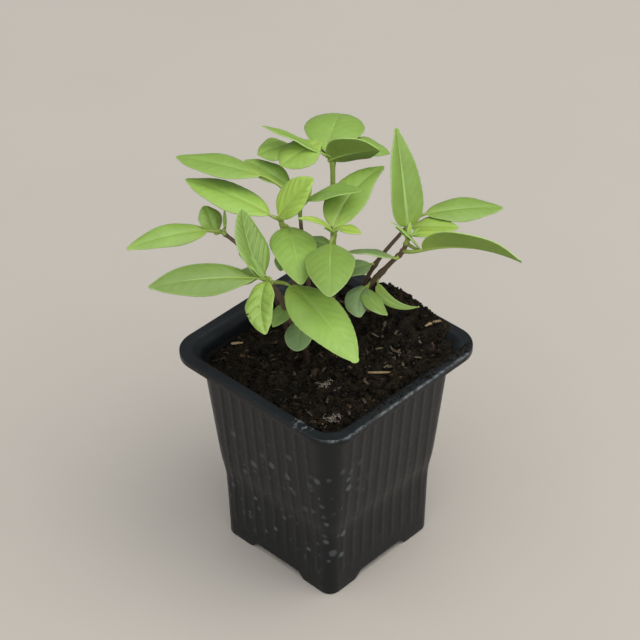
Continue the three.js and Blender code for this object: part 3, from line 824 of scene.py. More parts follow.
def stem_material(plant):
    """Green young stem that ripens to purplish brown, with fine streaks"""
    material, tree = new_material("stem_skin")
    patches, grain = mottled(tree, size=0.0025, contrast=0.8)
    uneven = work_out(tree, "SUBTRACT", times(tree, patches, 0.35), 0.17)
    ripe = plus(tree, attribute(tree, "ripe"), uneven)
    colour = mix_colours(tree, spread(tree, ripe, 0.15, 0.85), opaque(plant.green_stem), opaque(plant.stem))
    colour = shaded(tree, colour, spread(tree, ripe, 1.0, 1.9, 1.0, 0.3))
    set_surface(tree, colour, spread(tree, grain, 0.0, 1.0, 0.42, 0.58), bump(tree, grain, 0.4, 0.00015))
    return material


def floor_material(colour):
    """Plain matt paint for the floor"""
    material, tree = new_material("floor_paint")
    patches, _ = mottled(tree, size=0.08, contrast=0.9)
    dark = tuple(0.97 * c for c in colour)
    set_surface(tree, mix_colours(tree, patches, opaque(dark), opaque(colour)), 0.9)
    return material


# Pot

# Steps of the pot's mesh round a corner and to each rib
CORNER_STEPS = 12
STEPS_PER_RIB = 10

# The arch between two feet, from the middle of a side: half its level part and half its whole width
ARCH_LEVEL = 11.6
ARCH_END = 16

# Shares of the foot's half width at which the rings of the pot's underside lie
UNDER_SHARES = (0.05, 0.2, 0.33, 0.38, 0.43, 0.48, 0.53, 0.62, 0.75, 0.88, 0.96, 0.985)


def wall_half(height):
    """Half the pot's outer width, and its corner radius, at a height"""
    for (half, corner, low), (next_half, next_corner, high) in zip(WALL_LINE, WALL_LINE[1:], strict=False):
        if height <= high:
            t = (height - low) / (high - low)
            return half + (next_half - half) * t, corner + (next_corner - corner) * t
    return WALL_LINE[-1][:2]


def side_places(pot):
    """Where the pot's mesh has points along the straight middle of a side, with as many steps to each rib"""
    step = pot.rib_pitch / MM / STEPS_PER_RIB
    count = pot.ribs * STEPS_PER_RIB - 3
    return [(k - (count - 1) / 2) * step for k in range(count)]


def rib_height(pot, place):
    """How far a rib stands out of the wall at a place along the side"""
    pitch = pot.rib_pitch / MM
    reach = (pot.ribs - 1) / 2 * pitch
    nearest = min(max(round((place + reach) / pitch), 0), pot.ribs - 1) * pitch - reach
    off = abs(place - nearest) / (pot.rib_width / MM / 2)
    return pot.rib_proud / MM * (0.5 + 0.5 * math.cos(math.pi * min(off, 1)))


def pot_ring(pot, half, corner, height, ribbed=0.0):
    """One ring round the pot: a rounded square whose sides may carry ribs"""
    middle = half - corner
    outline = [(half + ribbed * rib_height(pot, place), place) for place in side_places(pot)]
    for k in range(CORNER_STEPS + 1):
        angle = k / CORNER_STEPS * math.pi / 2
        outline.append((middle + corner * math.cos(angle), middle + corner * math.sin(angle)))
    ring = []
    for side in range(4):
        turn = Matrix.Rotation(side * math.pi / 2, 3, "Z")
        ring += [turn @ Vector((x, y, height)) for x, y in outline]
    return ring


def under_height(x, y):
    """Height of the pot's underside: 0 at the four feet and raised in the arches between them"""
    foot = smooth(abs(x), ARCH_LEVEL, ARCH_END) * smooth(abs(y), ARCH_LEVEL, ARCH_END)
    return FOOT_HEIGHT * (1 - foot)


def round_off(line, steps=4):
    """Rounds the corners of a profile of (half, corner, height, ribbed, radius) points."""
    rounded = [line[0][:4]]
    for before, here, after in zip(line, line[1:], line[2:], strict=False):
        radius = here[4]
        here = Vector(here[:4])
        ends = []
        for other in (Vector(before[:4]), Vector(after[:4])):
            away = other - here
            long = math.hypot(away[0], away[2])
            ends.append(here + away * (min(radius, 0.45 * long) / long))
        for k in range(steps + 1):
            t = k / steps
            rounded.append(tuple(ends[0] * (1 - t) ** 2 + here * 2 * t * (1 - t) + ends[1] * t * t))
    rounded.append(line[-1][:4])
    return rounded


def pot_rings(pot):
    """The pot's rings: the underside outwards, up the wall, over the rim and down inside to the floor"""
    wall = pot.wall / MM
    foot_half, foot_corner, _ = WALL_LINE[0]
    rings = []
    for share in UNDER_SHARES:
        ring = [point * share for point in pot_ring(pot, foot_half, foot_corner, 0)]
        for point in ring:
            point.z = under_height(point.x, point.y)
        rings.append(ring)
    for inset, lift in ((0.25, 0.1), (0.1, 0.35), (0.0, 0.8)):
        ring = pot_ring(pot, foot_half - inset, foot_corner, 0)
        for point in ring:
            point.z = under_height(point.x, point.y) + lift
        rings.append(ring)

    line = []
    for height, ribbed, radius in (
        (4.5, 0, 0.5), (8, 0, 2), (14, 1, 2), (SHOULDER_LOW - 7, 1, 3), (SHOULDER_LOW + 1, 1, 5),
        (SHOULDER_HIGH - 1, 1, 5), (SHOULDER_HIGH + 8, 1, 3),
        (NECK_HEIGHT - 7, 1, 1), (NECK_HEIGHT - 3, 0, 1), (NECK_HEIGHT, 0, 1),
    ):
        line.append((*wall_half(height), height, ribbed, radius))
    for half, corner, height, radius in RIM_LINE:
        line.append((half, corner, height, 0, radius))
    for height in (NECK_HEIGHT, SHOULDER_HIGH, SHOULDER_LOW):
        half, corner = wall_half(height)
        line.append((half - wall, corner - wall / 2, height, 0, 2))
    floor_top = FOOT_HEIGHT + 1.3
    line.append((foot_half - wall, foot_corner - wall, floor_top, 0, 0))
    rings += [pot_ring(pot, *place) for place in round_off(line)]
    for share in (0.7, 0.35, 0.05):
        ring = pot_ring(pot, foot_half, foot_corner, 0)
        rings.append([Vector((point.x * share, point.y * share, floor_top)) for point in ring])
    return rings


def carve(piece, cutter):
    """Cuts the cutter out of a piece for good, and removes the cutter."""
    cut = piece.modifiers.new("holes", "BOOLEAN")
    cut.object = cutter
    cut.operation = "DIFFERENCE"
    cut.solver = "EXACT"
    seen = piece.evaluated_get(bpy.context.evaluated_depsgraph_get())
    piece.data = bpy.data.meshes.new_from_object(seen)
    piece.modifiers.clear()
    bpy.data.objects.remove(cutter)


def drain_rods(pot):
    """Upright rods through the pot's floor where its drain holes go: one in the middle and four round it"""
    bm = bmesh.new()
    radius = pot.drain_radius / MM
    reach = pot.drain_reach / MM
    for x, y in ((0, 0), (1, 0), (0, 1), (-1, 0), (0, -1)):
        bmesh.ops.create_cone(
            bm, cap_ends=True, segments=32, radius1=radius, radius2=radius, depth=12,
            matrix=Matrix.Translation((x * reach, y * reach, FOOT_HEIGHT)),
        )
    bmesh.ops.transform(bm, matrix=Matrix.Scale(MM, 4), verts=bm.verts)
    return place_mesh(bm, "drain_rods")


class BASIL_OT_pot(bpy.types.Operator):
    """Builds the ribbed square pot, with its rim, feet and drain holes"""

    bl_idname = "basil.pot"
    bl_label = "Pot"

    def execute(self, context):
        pot = context.scene.basil_pot
        bm = bmesh.new()
        loft(bm, pot_rings(pot))
        piece = finish_piece(bm, "square_pot", [pot_material(pot)], ["pot"])
        carve(piece, drain_rods(pot))
        return {"FINISHED"}


# Soil

# Half the pot's outer width, and its corner radius, at the soil's edge
BED_HALF, BED_CORNER = wall_half(SOIL_EDGE_HEIGHT)

# How far the pot's opening flares above its neck, and how much thicker its wall grows on the way
OPENING_FLARE = 3.6
WALL_SWELL = 0.35

# The spilt soil's left end and inner edge, its length and width, and the height of its ridge
SPILL_CORNER = (-18, 35.5)
SPILL_SIZE = (48, 10)
SPILL_RIDGE = 4.2


def to_plant(x, y):
    """A place on the pot as right and back in the plant's frame"""
    cos, sin = math.cos(PLANT_TURN), math.sin(PLANT_TURN)
    return x * cos + y * sin, y * cos - x * sin


def to_pot(right, back):
    """A place in the plant's frame as x and y on the pot"""
    cos, sin = math.cos(PLANT_TURN), math.sin(PLANT_TURN)
    return right * cos - back * sin, right * sin + back * cos


def mound(right, back, middle, height, reach):
    """Height of a round mound at a place"""
    away = (right - middle[0]) ** 2 + (back - middle[1]) ** 2
    return height * math.exp(-away / (2 * reach**2))


def soil_height(right, back):
    """Height of the soil: it slopes up to the right and back, and is heaped against the back right rim"""
    heap = mound(right, back, middle=(27, 21), height=7, reach=9)
    crown = mound(right, back, middle=(0, 0), height=2, reach=15)
    lumps = math.sin(right * 0.62 + 1.3) * math.cos(back * 0.55)
    lumps += math.sin(right * 0.37 - back * 0.71 + 0.4) + math.cos(right * 0.9 + back * 0.8)
    return SOIL_CENTRE_HEIGHT + 0.07 * right + 0.05 * back + heap + crown + 0.45 * lumps


def rough_height(right, back):
    """Height of the soil with its small clods and pits"""
    place = Vector((right, back, 0))
    clods = noise.noise(place / 2.8) * 1.3 + noise.noise(place / 1.1 + Vector((7, 3, 1))) * 0.6
    pits = min(noise.noise(place / 4.3 + Vector((2, 9, 4))), 0) * 2.2
    return soil_height(right, back) + clods + pits


def inner_half(height):
    """Half the pot's width inside at a height, with the flare under the rim"""
    wall = 1 + WALL_SWELL * smooth(height, NECK_HEIGHT, POT_HEIGHT)
    flare = OPENING_FLARE * smooth(height, NECK_HEIGHT, POT_HEIGHT + 0.5)
    return wall_half(min(height, NECK_HEIGHT))[0] - wall + flare


def into_square(x, y, half, corner):
    """Moves a place that is past a square's rounded corner back to it."""
    middle = half - corner
    if abs(x) > middle and abs(y) > middle:
        out = Vector((abs(x) - middle, abs(y) - middle))
        if out.length > corner:
            out = out.normalized() * corner
        x = math.copysign(middle + out.x, x)
        y = math.copysign(middle + out.y, y)
    return x, y


class BASIL_OT_soil(bpy.types.Operator):
    """Builds the soil bed that fills the pot"""

    bl_idname = "basil.soil"
    bl_label = "Soil bed"

    def execute(self, context):
        soil = context.scene.basil_soil
        wall = context.scene.basil_pot.wall / MM
        half = BED_HALF - wall - 0.1
        corner = BED_CORNER - wall / 2
        steps = round(2 * half * MM / soil.mesh_size)
        bm, shade = new_mesh("shade")
        reach = bm.verts.layers.float.new("reach")
        grid = bmesh.ops.create_grid(bm, x_segments=steps, y_segments=steps, size=half)
        for vert in grid["verts"]:
            x, y = into_square(vert.co.x, vert.co.y, half, corner)
            right, back = to_plant(x, y)
            level = rough_height(right, back)
            widen = 1 + (inner_half(level) / half - 1) * smooth(max(abs(x), abs(y)), half - 8, half)
            vert.co = (x * widen, y * widen, level)
            vert[reach] = inner_half(level)
            vert[shade] = 0.3 + 0.5 * noise.noise(Vector((x, y, 5)) / 3)
        for height in (NECK_HEIGHT - 0.2, SHOULDER_HIGH, SHOULDER_LOW, FOOT_HEIGHT + 1.6):
            rim = [edge for edge in bm.edges if edge.is_boundary]
            for vert in bmesh.ops.extrude_edge_only(bm, edges=rim)["geom"]:
                if isinstance(vert, bmesh.types.BMVert):
                    level = min(height, vert.co.z - 0.2)
                    half_here = wall_half(level)[0] - wall - 0.3
                    shrink = half_here / vert[reach]
                    vert.co = (vert.co.x * shrink, vert.co.y * shrink, level)
                    vert[reach] = half_here
        bmesh.ops.contextual_create(bm, geom=[edge for edge in bm.edges if edge.is_boundary])
        finish_piece(bm, "soil_bed", [soil_material("compost", soil, 0.0)], ["soil"])
        return {"FINISHED"}


def spill_height(x, y):
    """Height of the soil that was spilt over the middle of the rim's back, down to the soil inside"""
    ragged = x + 4 * noise.noise(Vector((x, y, 9)) / 3)
    whole = smooth(ragged, -18, -9) * smooth(ragged, 31, 24)
    ridge = SPILL_RIDGE * math.exp(-(((x - 2) / 15) ** 2)) * smooth(y, 45.6, 43.6) * whole
    ridge += 0.9 * noise.noise(Vector((x, y, 3)) / 1.5) * min(ridge, 1)
    inside = smooth(y, 41.3 - 1.3 * whole, 38.2 - 1.7 * whole)
    return (POT_HEIGHT - 0.1 + ridge) * (1 - inside) + (rough_height(*to_plant(x, y)) - 0.4) * inside


class BASIL_OT_spill(bpy.types.Operator):
    """Heaps the soil that lies on the rim's back"""

    bl_idname = "basil.spill"
    bl_label = "Spilt soil"

    def execute(self, context):
        bm, shade = new_mesh("shade")
        bmesh.ops.create_grid(bm, x_segments=84, y_segments=20, size=0.5)
        for vert in bm.verts:
            vert.co.x = SPILL_CORNER[0] + SPILL_SIZE[0] * (vert.co.x + 0.5)
            vert.co.y = SPILL_CORNER[1] + SPILL_SIZE[1] * (vert.co.y + 0.5)
            vert[shade] = 0.3 + 0.5 * noise.noise(vert.co / 2)
        made = bmesh.ops.extrude_face_region(bm, geom=list(bm.faces))["geom"]
        lower = {item for item in made if isinstance(item, bmesh.types.BMVert)}
        for vert in bm.verts:
            over = spill_height(vert.co.x, vert.co.y)
            under = min(POT_HEIGHT - 0.3 - 3.5 * smooth(vert.co.y, 39.5, 37.5), over - 0.4)
            vert.co.z = under if vert in lower else over
        bmesh.ops.recalc_face_normals(bm, faces=bm.faces)
        finish_piece(bm, "spilt_soil", [bpy.data.materials["compost"]])
        return {"FINISHED"}


def crumb_size(rng, usual, largest, uneven=0.5):
    """A crumb's random size, mostly near the usual one"""
    return min(usual * math.exp(rng.gauss(0, uneven)), largest)


def crumb(whole, place, size, value, rng, detail=1):
    """Adds one loose crumb: a ball roughened, squashed and turned."""
    bm, shade = new_mesh("shade")
    bmesh.ops.create_icosphere(bm, subdivisions=detail, radius=size)
    start = Vector((rng.uniform(0, 90), rng.uniform(0, 90), rng.uniform(0, 90)))
    for vert in bm.verts:
        vert.co *= 1 + 0.75 * noise.noise(vert.co * (1.4 / size) + start) + rng.uniform(-0.15, 0.15)
        vert[shade] = value
    squash = Matrix.Diagonal((rng.uniform(0.6, 1.4), rng.uniform(0.6, 1.2), rng.uniform(0.45, 0.9), 1))
    turn = Matrix.Rotation(rng.uniform(0, 6.28), 4, Vector((rng.random(), rng.random(), rng.random() + 0.1)))
    bmesh.ops.transform(bm, matrix=Matrix.Translation(place) @ turn @ squash, verts=bm.verts)
    join(whole, bm)


class BASIL_OT_crumbs(bpy.types.Operator):
    """Scatters loose crumbs on the soil, on the spilt soil and along the rim's right side"""

    bl_idname = "basil.crumbs"
    bl_label = "Crumbs"

    def execute(self, context):
        soil = context.scene.basil_soil
        rng = random.Random(11)
        bm = bmesh.new()
        reach = BED_HALF - context.scene.basil_pot.wall / MM
        for number in range(soil.crumbs + soil.clods):
            size, detail, raised = crumb_size(rng, usual=0.34, largest=1.2), 1, 0.2
            if number >= soil.crumbs:
                size, detail, raised = rng.triangular(0.8, 2.1, 1), 2, -0.1
            x, y = rng.uniform(-reach, reach), rng.uniform(-reach, reach)
            x, y = into_square(x, y, reach - size, BED_CORNER)
            level = rough_height(*to_plant(x, y)) + raised * size
            crumb(bm, Vector((x, y, level)), size, rng.random() ** 2, rng, detail)
        for _ in range(soil.spilt_crumbs):
            size = crumb_size(rng, usual=0.42, largest=1.3)
            x, y = min(max(rng.gauss(3, 11), -17), 28), rng.uniform(37, 45)
            crumb(bm, Vector((x, y, spill_height(x, y) + 0.1)), size, rng.random(), rng)
        outer = RIM_HALF - 0.5
        for _ in range(soil.rim_crumbs):
            size = crumb_size(rng, usual=0.22, largest=0.7)
            x, y = rng.triangular(40.2, outer, 40.8), rng.triangular(-34, 44, 40)
            x, y = into_square(x, y, outer, RIM_CORNER)
            crumb(bm, Vector((x, y, POT_HEIGHT + size * 0.3)), size, rng.random(), rng)
        finish_piece(bm, "soil_crumbs", [soil_material("loose_compost", soil, 0.12)])
        return {"FINISHED"}


def splinter(whole, middle, heading, rise, length, width, rng, flat=0.5):
    """Adds a thin, slightly bowed and flattened straw or fibre with six sides."""
    along, level = direction(heading, rise)
    up = along.cross(level)
    bow = rng.uniform(-0.08, 0.08) * length
    dip = rng.uniform(-0.03, 0.06) * length
    rings = []
    for k in range(6):
        t = k / 5 * 2 - 1
        girth = width / 2 * (1 - 0.35 * t * t) * rng.uniform(0.85, 1.1)
        centre = middle + along * (t * length / 2) + level * bow * (t * t) - up * dip * (t * t)
        ring = []
        for j in range(6):
            angle = j / 6 * 2 * math.pi
            side = level * (girth * math.cos(angle)) + up * (girth * flat * math.sin(angle))
            ring.append(centre + side + along * rng.uniform(-0.1, 0.1) * width)
        rings.append(ring)
    bm, shade = new_mesh("shade")
    value = rng.random()
    for row in loft(bm, rings):
        for vert in row:
            vert[shade] = value
    join(whole, bm)


def straw_bit(place, heading, length, width, rng):
    """One straw, with two thin shreds that split off it"""
    bm = bmesh.new()
    splinter(bm, place, math.radians(heading), 0, length, width, rng, 0.6)
    for _ in range(2):
        off = Vector((rng.uniform(-1, 1), rng.uniform(-0.4, 0.4), 0.2))
        turn = math.radians(heading + rng.uniform(-6, 6))
        splinter(bm, place + off, turn, 0.03, length * 0.7, width * 0.3, rng)
    return bm


def fibre_tuft(right, back, heading, length, width, rng):
    """One lump of pale fibre, made of splinters and crumbs by turns"""
    bm = bmesh.new()
    for number in range(60):
        off = Vector((rng.gauss(0, length / 4), rng.gauss(0, width / 4), 0))
        off.rotate(Matrix.Rotation(math.radians(heading), 3, "Z"))
        place = Vector((right + off.x, back + off.y, 0))
        place.z = soil_height(place.x, place.y) + rng.uniform(0.6, 1.8)
        if number % 2:
            crumb(bm, place, rng.uniform(0.15, 0.55), rng.random(), rng)
        else:
            splinter(
                bm, place, rng.uniform(0, 3.1), rng.uniform(-0.6, 0.6), rng.uniform(0.8, 2.2),
                rng.uniform(0.12, 0.35), rng,
            )
    return bm


def fibres_and_chips(soil, rng):
    """Thin fibres and flat chips of bark all over the bed"""
    bm = bmesh.new()
    for number in range(soil.fibres + soil.chips):
        x, y = into_square(rng.uniform(-33, 33), rng.uniform(-33, 33), BED_HALF - 4, BED_CORNER)
        right, back = to_plant(x, y)
        place = Vector((right, back, rough_height(right, back) + 0.3))
        length, width = rng.uniform(1.5, 6), rng.uniform(0.2, 0.45)
        if number >= soil.fibres:
            length, width = rng.uniform(1.2, 4.5), rng.uniform(0.7, 1.6)
        splinter(bm, place, rng.uniform(0, 3.1), rng.gauss(0, 0.2), length, width, rng, 0.4)
    return bm


def flecks_and_shreds(soil, rng):
    """Pale flecks all over the bed, more flecks and a few shreds on its right, and flecks on the rim there"""
    bm = bmesh.new()
    for number in range(soil.flecks):
        right, back = rng.gauss(31, 5), rng.gauss(-3, 5)
        if number % 2:
            right, back = rng.uniform(-34, 34), rng.uniform(-34, 34)
        x, y = into_square(*to_pot(right, back), BED_HALF - 3, BED_CORNER)
        size = crumb_size(rng, usual=0.22, largest=0.6, uneven=0.45)
        crumb(bm, Vector((x, y, rough_height(*to_plant(x, y)) + 0.35)), size, rng.random(), rng)
    for _ in range(soil.pale_shreds):
        right, back = rng.gauss(30, 6), rng.gauss(-2, 6)
        x, y = into_square(*to_pot(right, back), BED_HALF - 4, BED_CORNER)
        place = Vector((x, y, rough_height(*to_plant(x, y)) + 0.5))
        heading = rng.uniform(0, 2 * math.pi)
        splinter(bm, place, heading, rng.gauss(0, 0.25), rng.uniform(1.5, 4.5), rng.uniform(0.7, 1.4), rng)
    for _ in range(soil.rim_flecks):
        x, y = rng.uniform(RIM_HALF - 1.5, RIM_HALF - 0.3), rng.gauss(-14, 9)
        place = Vector((x, y, POT_HEIGHT + 0.05))
        crumb(bm, place, rng.uniform(0.08, 0.26), rng.random(), rng)
    return bm


class BASIL_OT_litter(bpy.types.Operator):
    """Lays the straws, the lumps of pale fibre and many small fibres, chips and flecks"""

    bl_idname = "basil.litter"
    bl_label = "Straw and fibre"

    def execute(self, context):
        soil = context.scene.basil_soil
        rng = random.Random(23)
        straw = dry_bit_material("straw", soil.straw_colour)
        pale = dry_bit_material("pale_fibre", soil.fibre_colour)
        bark = dry_bit_material("bark", soil.bark_colour)
        dull = dry_bit_material("dull_fleck", soil.fleck_colour)
        for name, (right, back), heading, length, width in STRAWS:
            level = POT_HEIGHT + 0.5 if name == "straw_on_rim" else soil_height(right, back) + 1.1
            bm = straw_bit(Vector((right, back, level)), heading, length, width, rng)
            finish_piece(bm, name + "_bit", [straw], [name], turned=True)
        for name, (right, back), heading, length, width in FIBRE_LUMPS:
            bm = fibre_tuft(right, back, heading, length, width, rng)
            finish_piece(bm, name + "_tuft", [pale], [name], turned=True)
        finish_piece(fibres_and_chips(soil, rng), "soil_fibres", [bark], turned=True)
        finish_piece(flecks_and_shreds(soil, rng), "soil_flecks", [dull])
        return {"FINISHED"}


# Stems

# How much thicker a stem is at a joint, and how far the joint reaches as a share of the stem's length
JOINT_SWELL = 0.42
JOINT_REACH = 0.028


def stem_point(points, share):
    """The point at a share of the smooth line through points, which stays taut where they are close"""
    last = len(points) - 1
    step = min(int(share * last), last - 1)
    t = share * last - step
    here, after = points[step], points[step + 1]
    before = points[step - 1] if step else here * 2 - after
    beyond = points[step + 2] if step + 2 <= last else after * 2 - here
    gaps = [math.sqrt((b - a).length) for a, b in ((before, here), (here, after), (after, beyond))]
    leave = (here - before) / gaps[0] - (after - before) / (gaps[0] + gaps[1]) + (after - here) / gaps[1]
    reach = (after - here) / gaps[1] - (beyond - here) / (gaps[1] + gaps[2]) + (beyond - after) / gaps[2]
    leave, reach = leave * gaps[1], reach * gaps[1]
    bend = (after - here) * 3 - leave * 2 - reach
    curl = (here - after) * 2 + leave + reach
    return here + leave * t + bend * (t * t) + curl * (t * t * t)


def stalk(whole, path, sides, square=0.0):
    """Adds a stalk along a path of (point, radius, ripeness) steps; square gives its section four corners."""
    points = [point for point, _, _ in path]
    last = len(points) - 1
    tangents = [(points[min(k + 1, last)] - points[max(k - 1, 0)]).normalized() for k in range(last + 1)]
    across = Vector((0, 1, 0)).cross(tangents[0]).normalized()
    rings = []
    for (point, radius, _), along in zip(path, tangents, strict=True):
        across = (across - along * across.dot(along)).normalized()
        side = along.cross(across)
        ring = []
        for j in range(sides):
            angle = j / sides * 2 * math.pi
            girth = radius * (1 + square * math.cos(4 * angle))
            ring.append(point + across * (girth * math.cos(angle)) + side * (girth * math.sin(angle)))
        rings.append(ring)
    bm, ripe_layer = new_mesh("ripe")
    for row, (_, _, ripe) in zip(loft(bm, rings), path, strict=True):
        for vert in row:
            vert[ripe_layer] = ripe
    join(whole, bm)


def ripeness(shoot, share):
    """How ripe a stem is at a share of its length: past 1 near the soil, and near 0 where it is green"""
    return 1 + smooth(share, 0.5, 0.1) - 0.95 * smooth(share, shoot.green, shoot.green + 0.14)


def stem_path(shoot):
    """A stem's steps: thicker at its joints, and green and slender at its top"""
    collar = Vector((*shoot.foot, STEM_COLLAR))
    points = [collar, *(Vector(p) for p in shoot.line)]
    steps = 60
    path = [(Vector((*shoot.foot, STEM_ROOT)), shoot.radius, 2.0)]
    joints = {leaf.start for leaf in shoot.leaves}
    for k in range(steps + 1):
        share = k / steps
        swell = max(JOINT_SWELL * math.exp(-(((share - joint) / JOINT_REACH) ** 2)) for joint in joints)
        radius = shoot.radius * (1 - 0.3 * share) * (1 + swell)
        path.append((stem_point(points, share), radius, ripeness(shoot, share)))
    return points, path


def petiole_path(leaf, stem_points, radius):
    """A leaf stalk's steps, from the stem into the underside of its blade's midrib"""
    begin = stem_point(stem_points, leaf.start)
    root = Vector(leaf.root)
    line = leaf_line(leaf, [k / 12 for k in range(7)])
    reach = (begin - root).length
    lead = root - line[0][1] * (0.5 * reach)
    slim = 0.8 if leaf.small else 1.0
    path = []
    steps = 14
    for k in range(steps + 1):
        t = k / steps
        point = begin * (1 - t) ** 2 + lead * 2 * t * (1 - t) + root * t * t
        path.append((point, radius * slim * (1.5 - 0.65 * t), 0.45 - 0.45 * smooth(t, 0.0, 0.5)))
    for step, (point, _, _, up) in enumerate(line[1:]):
        path.append((point - up * 0.12, radius * slim * (0.7 - 0.1 * step), 0.0))
    return path


def leaf_aim(leaf, t):
    """The directions along the midrib, across the blade and up from it, at a share of its length"""
    yaw = math.radians(leaf.heading + leaf.bend * (t - 0.5))
    pitch = math.radians(leaf.rise + leaf.droop * (0.5 - t))
    roll = math.radians(leaf.roll)
    along, level = direction(yaw, pitch)
    across = level * math.cos(roll) + along.cross(level) * math.sin(roll)
    return along, across, along.cross(across)


def leaf_line(leaf, shares):
    """The midrib's points at shares of its length from 0 up, each with its directions along, across and up"""
    point = Vector(leaf.root)
    line = [(point.copy(), *leaf_aim(leaf, 0))]
    for before, here in zip(shares, shares[1:], strict=False):
        point += leaf_aim(leaf, (before + here) / 2)[0] * (leaf.length * (here - before))
        line.append((point.copy(), *leaf_aim(leaf, here)))
    return line


class BASIL_OT_stems(bpy.types.Operator):
    """Builds each shoot's square stem and its leaf stalks"""

    bl_idname = "basil.stems"
    bl_label = "Stems"

    def execute(self, context):
        plant = context.scene.basil_plant
        skin = stem_material(plant)
        for shoot in SHOOTS:
            bm = bmesh.new()
            points, path = stem_path(shoot)
            stalk(bm, path, sides=20, square=0.07)
            for leaf in shoot.leaves:
                stalk(bm, petiole_path(leaf, points, plant.petiole / MM), sides=12)
            node = shoot.name + "_stem"
            finish_piece(bm, shoot.name + "_stalks", [skin], [node], turned=True)
        return {"FINISHED"}


# Leaves

# Radius of a leaf's tip as a share of the leaf's width, and half the blade's least width in millimetres
TIP_SHARE = 0.085
LEAST_HALF = 0.12

# Relief of a blade in millimetres: its raised quilting, and the groove along its midrib
QUILT_HEIGHT = 0.42
GROOVE_DEPTH = 0.3

# The margin's teeth: the way from one to the next in millimetres, and their size as a share of the half width
TOOTH_GAP = 3.2
TOOTH_SIZE = 0.02

# What each vertex of a blade carries for its materials
LEAF_LAYERS = (
    "from_midrib", "from_margin", "along_leaf", "leaf_length", "vein_turn", "vein_depth", "rib_wide",
    "young", "grey", "shade",
)


def half_width(leaf, t):
    """Half the blade's width at a share of its length: an oval that is drawn out to a small round tip"""
    skew = math.log(0.5) / math.log(leaf.widest)
    half = leaf.width / 2 * max(math.sin(math.pi * t**skew), 0) ** leaf.full
    tip = TIP_SHARE * leaf.width
    from_tip = (1 - t) * leaf.length
    if from_tip < tip:
        half = max(half, math.sqrt(from_tip * (2 * tip - from_tip)))
    return max(half, LEAST_HALF)


def nibble(bm, centre, radius, reach):
    """Takes a round bite out of a blade, and draws the mesh round it onto the bite's edge."""
    gone = []
    for face in bm.faces:
        if (face.calc_center_median() - centre).length < radius:
            gone.append(face)
    bmesh.ops.delete(bm, geom=gone, context="FACES")
    for vert in bm.verts:
        off = vert.co - centre
        if vert.is_boundary and off.length < radius + reach:
            vert.co = centre + off.normalized() * radius


def blade(plant, leaf, rng):
    """One blade as a mesh of its own, with what its veins are drawn from in each vertex"""
    size = plant.mesh_size / MM
    rows = max(14, round(leaf.length / size))
    half_columns = max(5, round(leaf.width / 2 / size))
    bm = bmesh.new()
    layers = [bm.verts.layers.float.new(name) for name in LEAF_LAYERS]
    grid = bmesh.ops.create_grid(bm, x_segments=2 * half_columns, y_segments=rows, size=0.5)
    shares = [1 - (1 - k / rows) ** 1.25 for k in range(rows + 1)]
    line = leaf_line(leaf, shares)
    gap = plant.vein_gap / MM * (0.7 if leaf.small else 1.0)
    slant = 1 / math.tan(math.radians(leaf.lean))
    fold = math.radians(leaf.fold)
    phases = [rng.uniform(0, 6.28), rng.uniform(0, 6.28)]
    shade = rng.random()
    start = rng.random()
    teeth = leaf.length / TOOTH_GAP
    for vert in grid["verts"]:
        row = round((vert.co.y + 0.5) * rows)
        t = shares[row]
        side = -2 * vert.co.x
        point, _, across, up = line[row]
        half = half_width(leaf, t)
        tooth = TOOTH_SIZE * ((t * teeth) % 1) * smooth(t, 0.2, 0.4) * abs(side) ** 6
        if leaf.small:
            tooth = 0.0
        place = side * half * (1 + tooth)
        off = abs(place)
        margin = half - min(off, half)
        turn = (t * leaf.length - off * slant - 0.35 * off * off / leaf.width) / gap + start
        lift = math.sqrt(off * off + 0.25) * math.sin(fold) - leaf.crown * half * side * side
        swell = abs(math.sin(math.pi * turn)) ** 0.8 * smooth(off, 0, 2.2) * smooth(margin, 0, 1.8)
        groove = GROOVE_DEPTH * (1 - 0.75 * t) * math.exp(-((place / 0.7) ** 2)) * smooth(t, 0, 0.08)
        ripple = leaf.wave * side * side * smooth(half, 1, 5)
        ripple *= math.sin(2 * math.pi * 1.7 * t + phases[side > 0])
        vert.co = point + across * (place * math.cos(fold))
        vert.co += up * (lift + QUILT_HEIGHT * leaf.quilt * swell - groove + ripple)
        # The shade layer carries the leaf's painted light and shade, with a little random variation
        carried = (
            place, margin, t, t * leaf.length + 100 * shade, turn, leaf.veins, leaf.rib,
            min(1, leaf.young + 0.35 * smooth(t, 0.25, 0.0)), leaf.grey, leaf.tone * (0.95 + 0.1 * shade),
        )
        for layer, value in zip(layers, carried, strict=True):
            vert[layer] = value
    for along, aside, radius in leaf.bites:
        point, _, across, up = leaf_line(leaf, [along * k / rows for k in range(rows + 1)])[-1]
        half = half_width(leaf, along)
        place = aside * leaf.width / 2
        lift = abs(place) * math.sin(fold) - leaf.crown * place * place / half
        nibble(bm, point + across * (place * math.cos(fold)) + up * lift, radius, size)
    return bm


def buds(shoot, rng):
    """The folded young leaves at the top of a stem"""
    top = Vector(shoot.line[-1])
    first = rng.uniform(0, 360)
    made = []
    for k in range(shoot.buds):
        heading = first + 360 / shoot.buds * k + rng.uniform(-15, 15)
        out = Vector((math.cos(math.radians(heading)), math.sin(math.radians(heading)), 0.6))
        made.append(Leaf(
            tuple(top + 0.9 * out), heading, rng.uniform(35, 65), rng.uniform(2.5, 3.5) + 0.5 * shoot.buds,
            rng.uniform(1.5, 2.4), fold=35, young=1, small=True, veins=0.1,
        ))
    return made


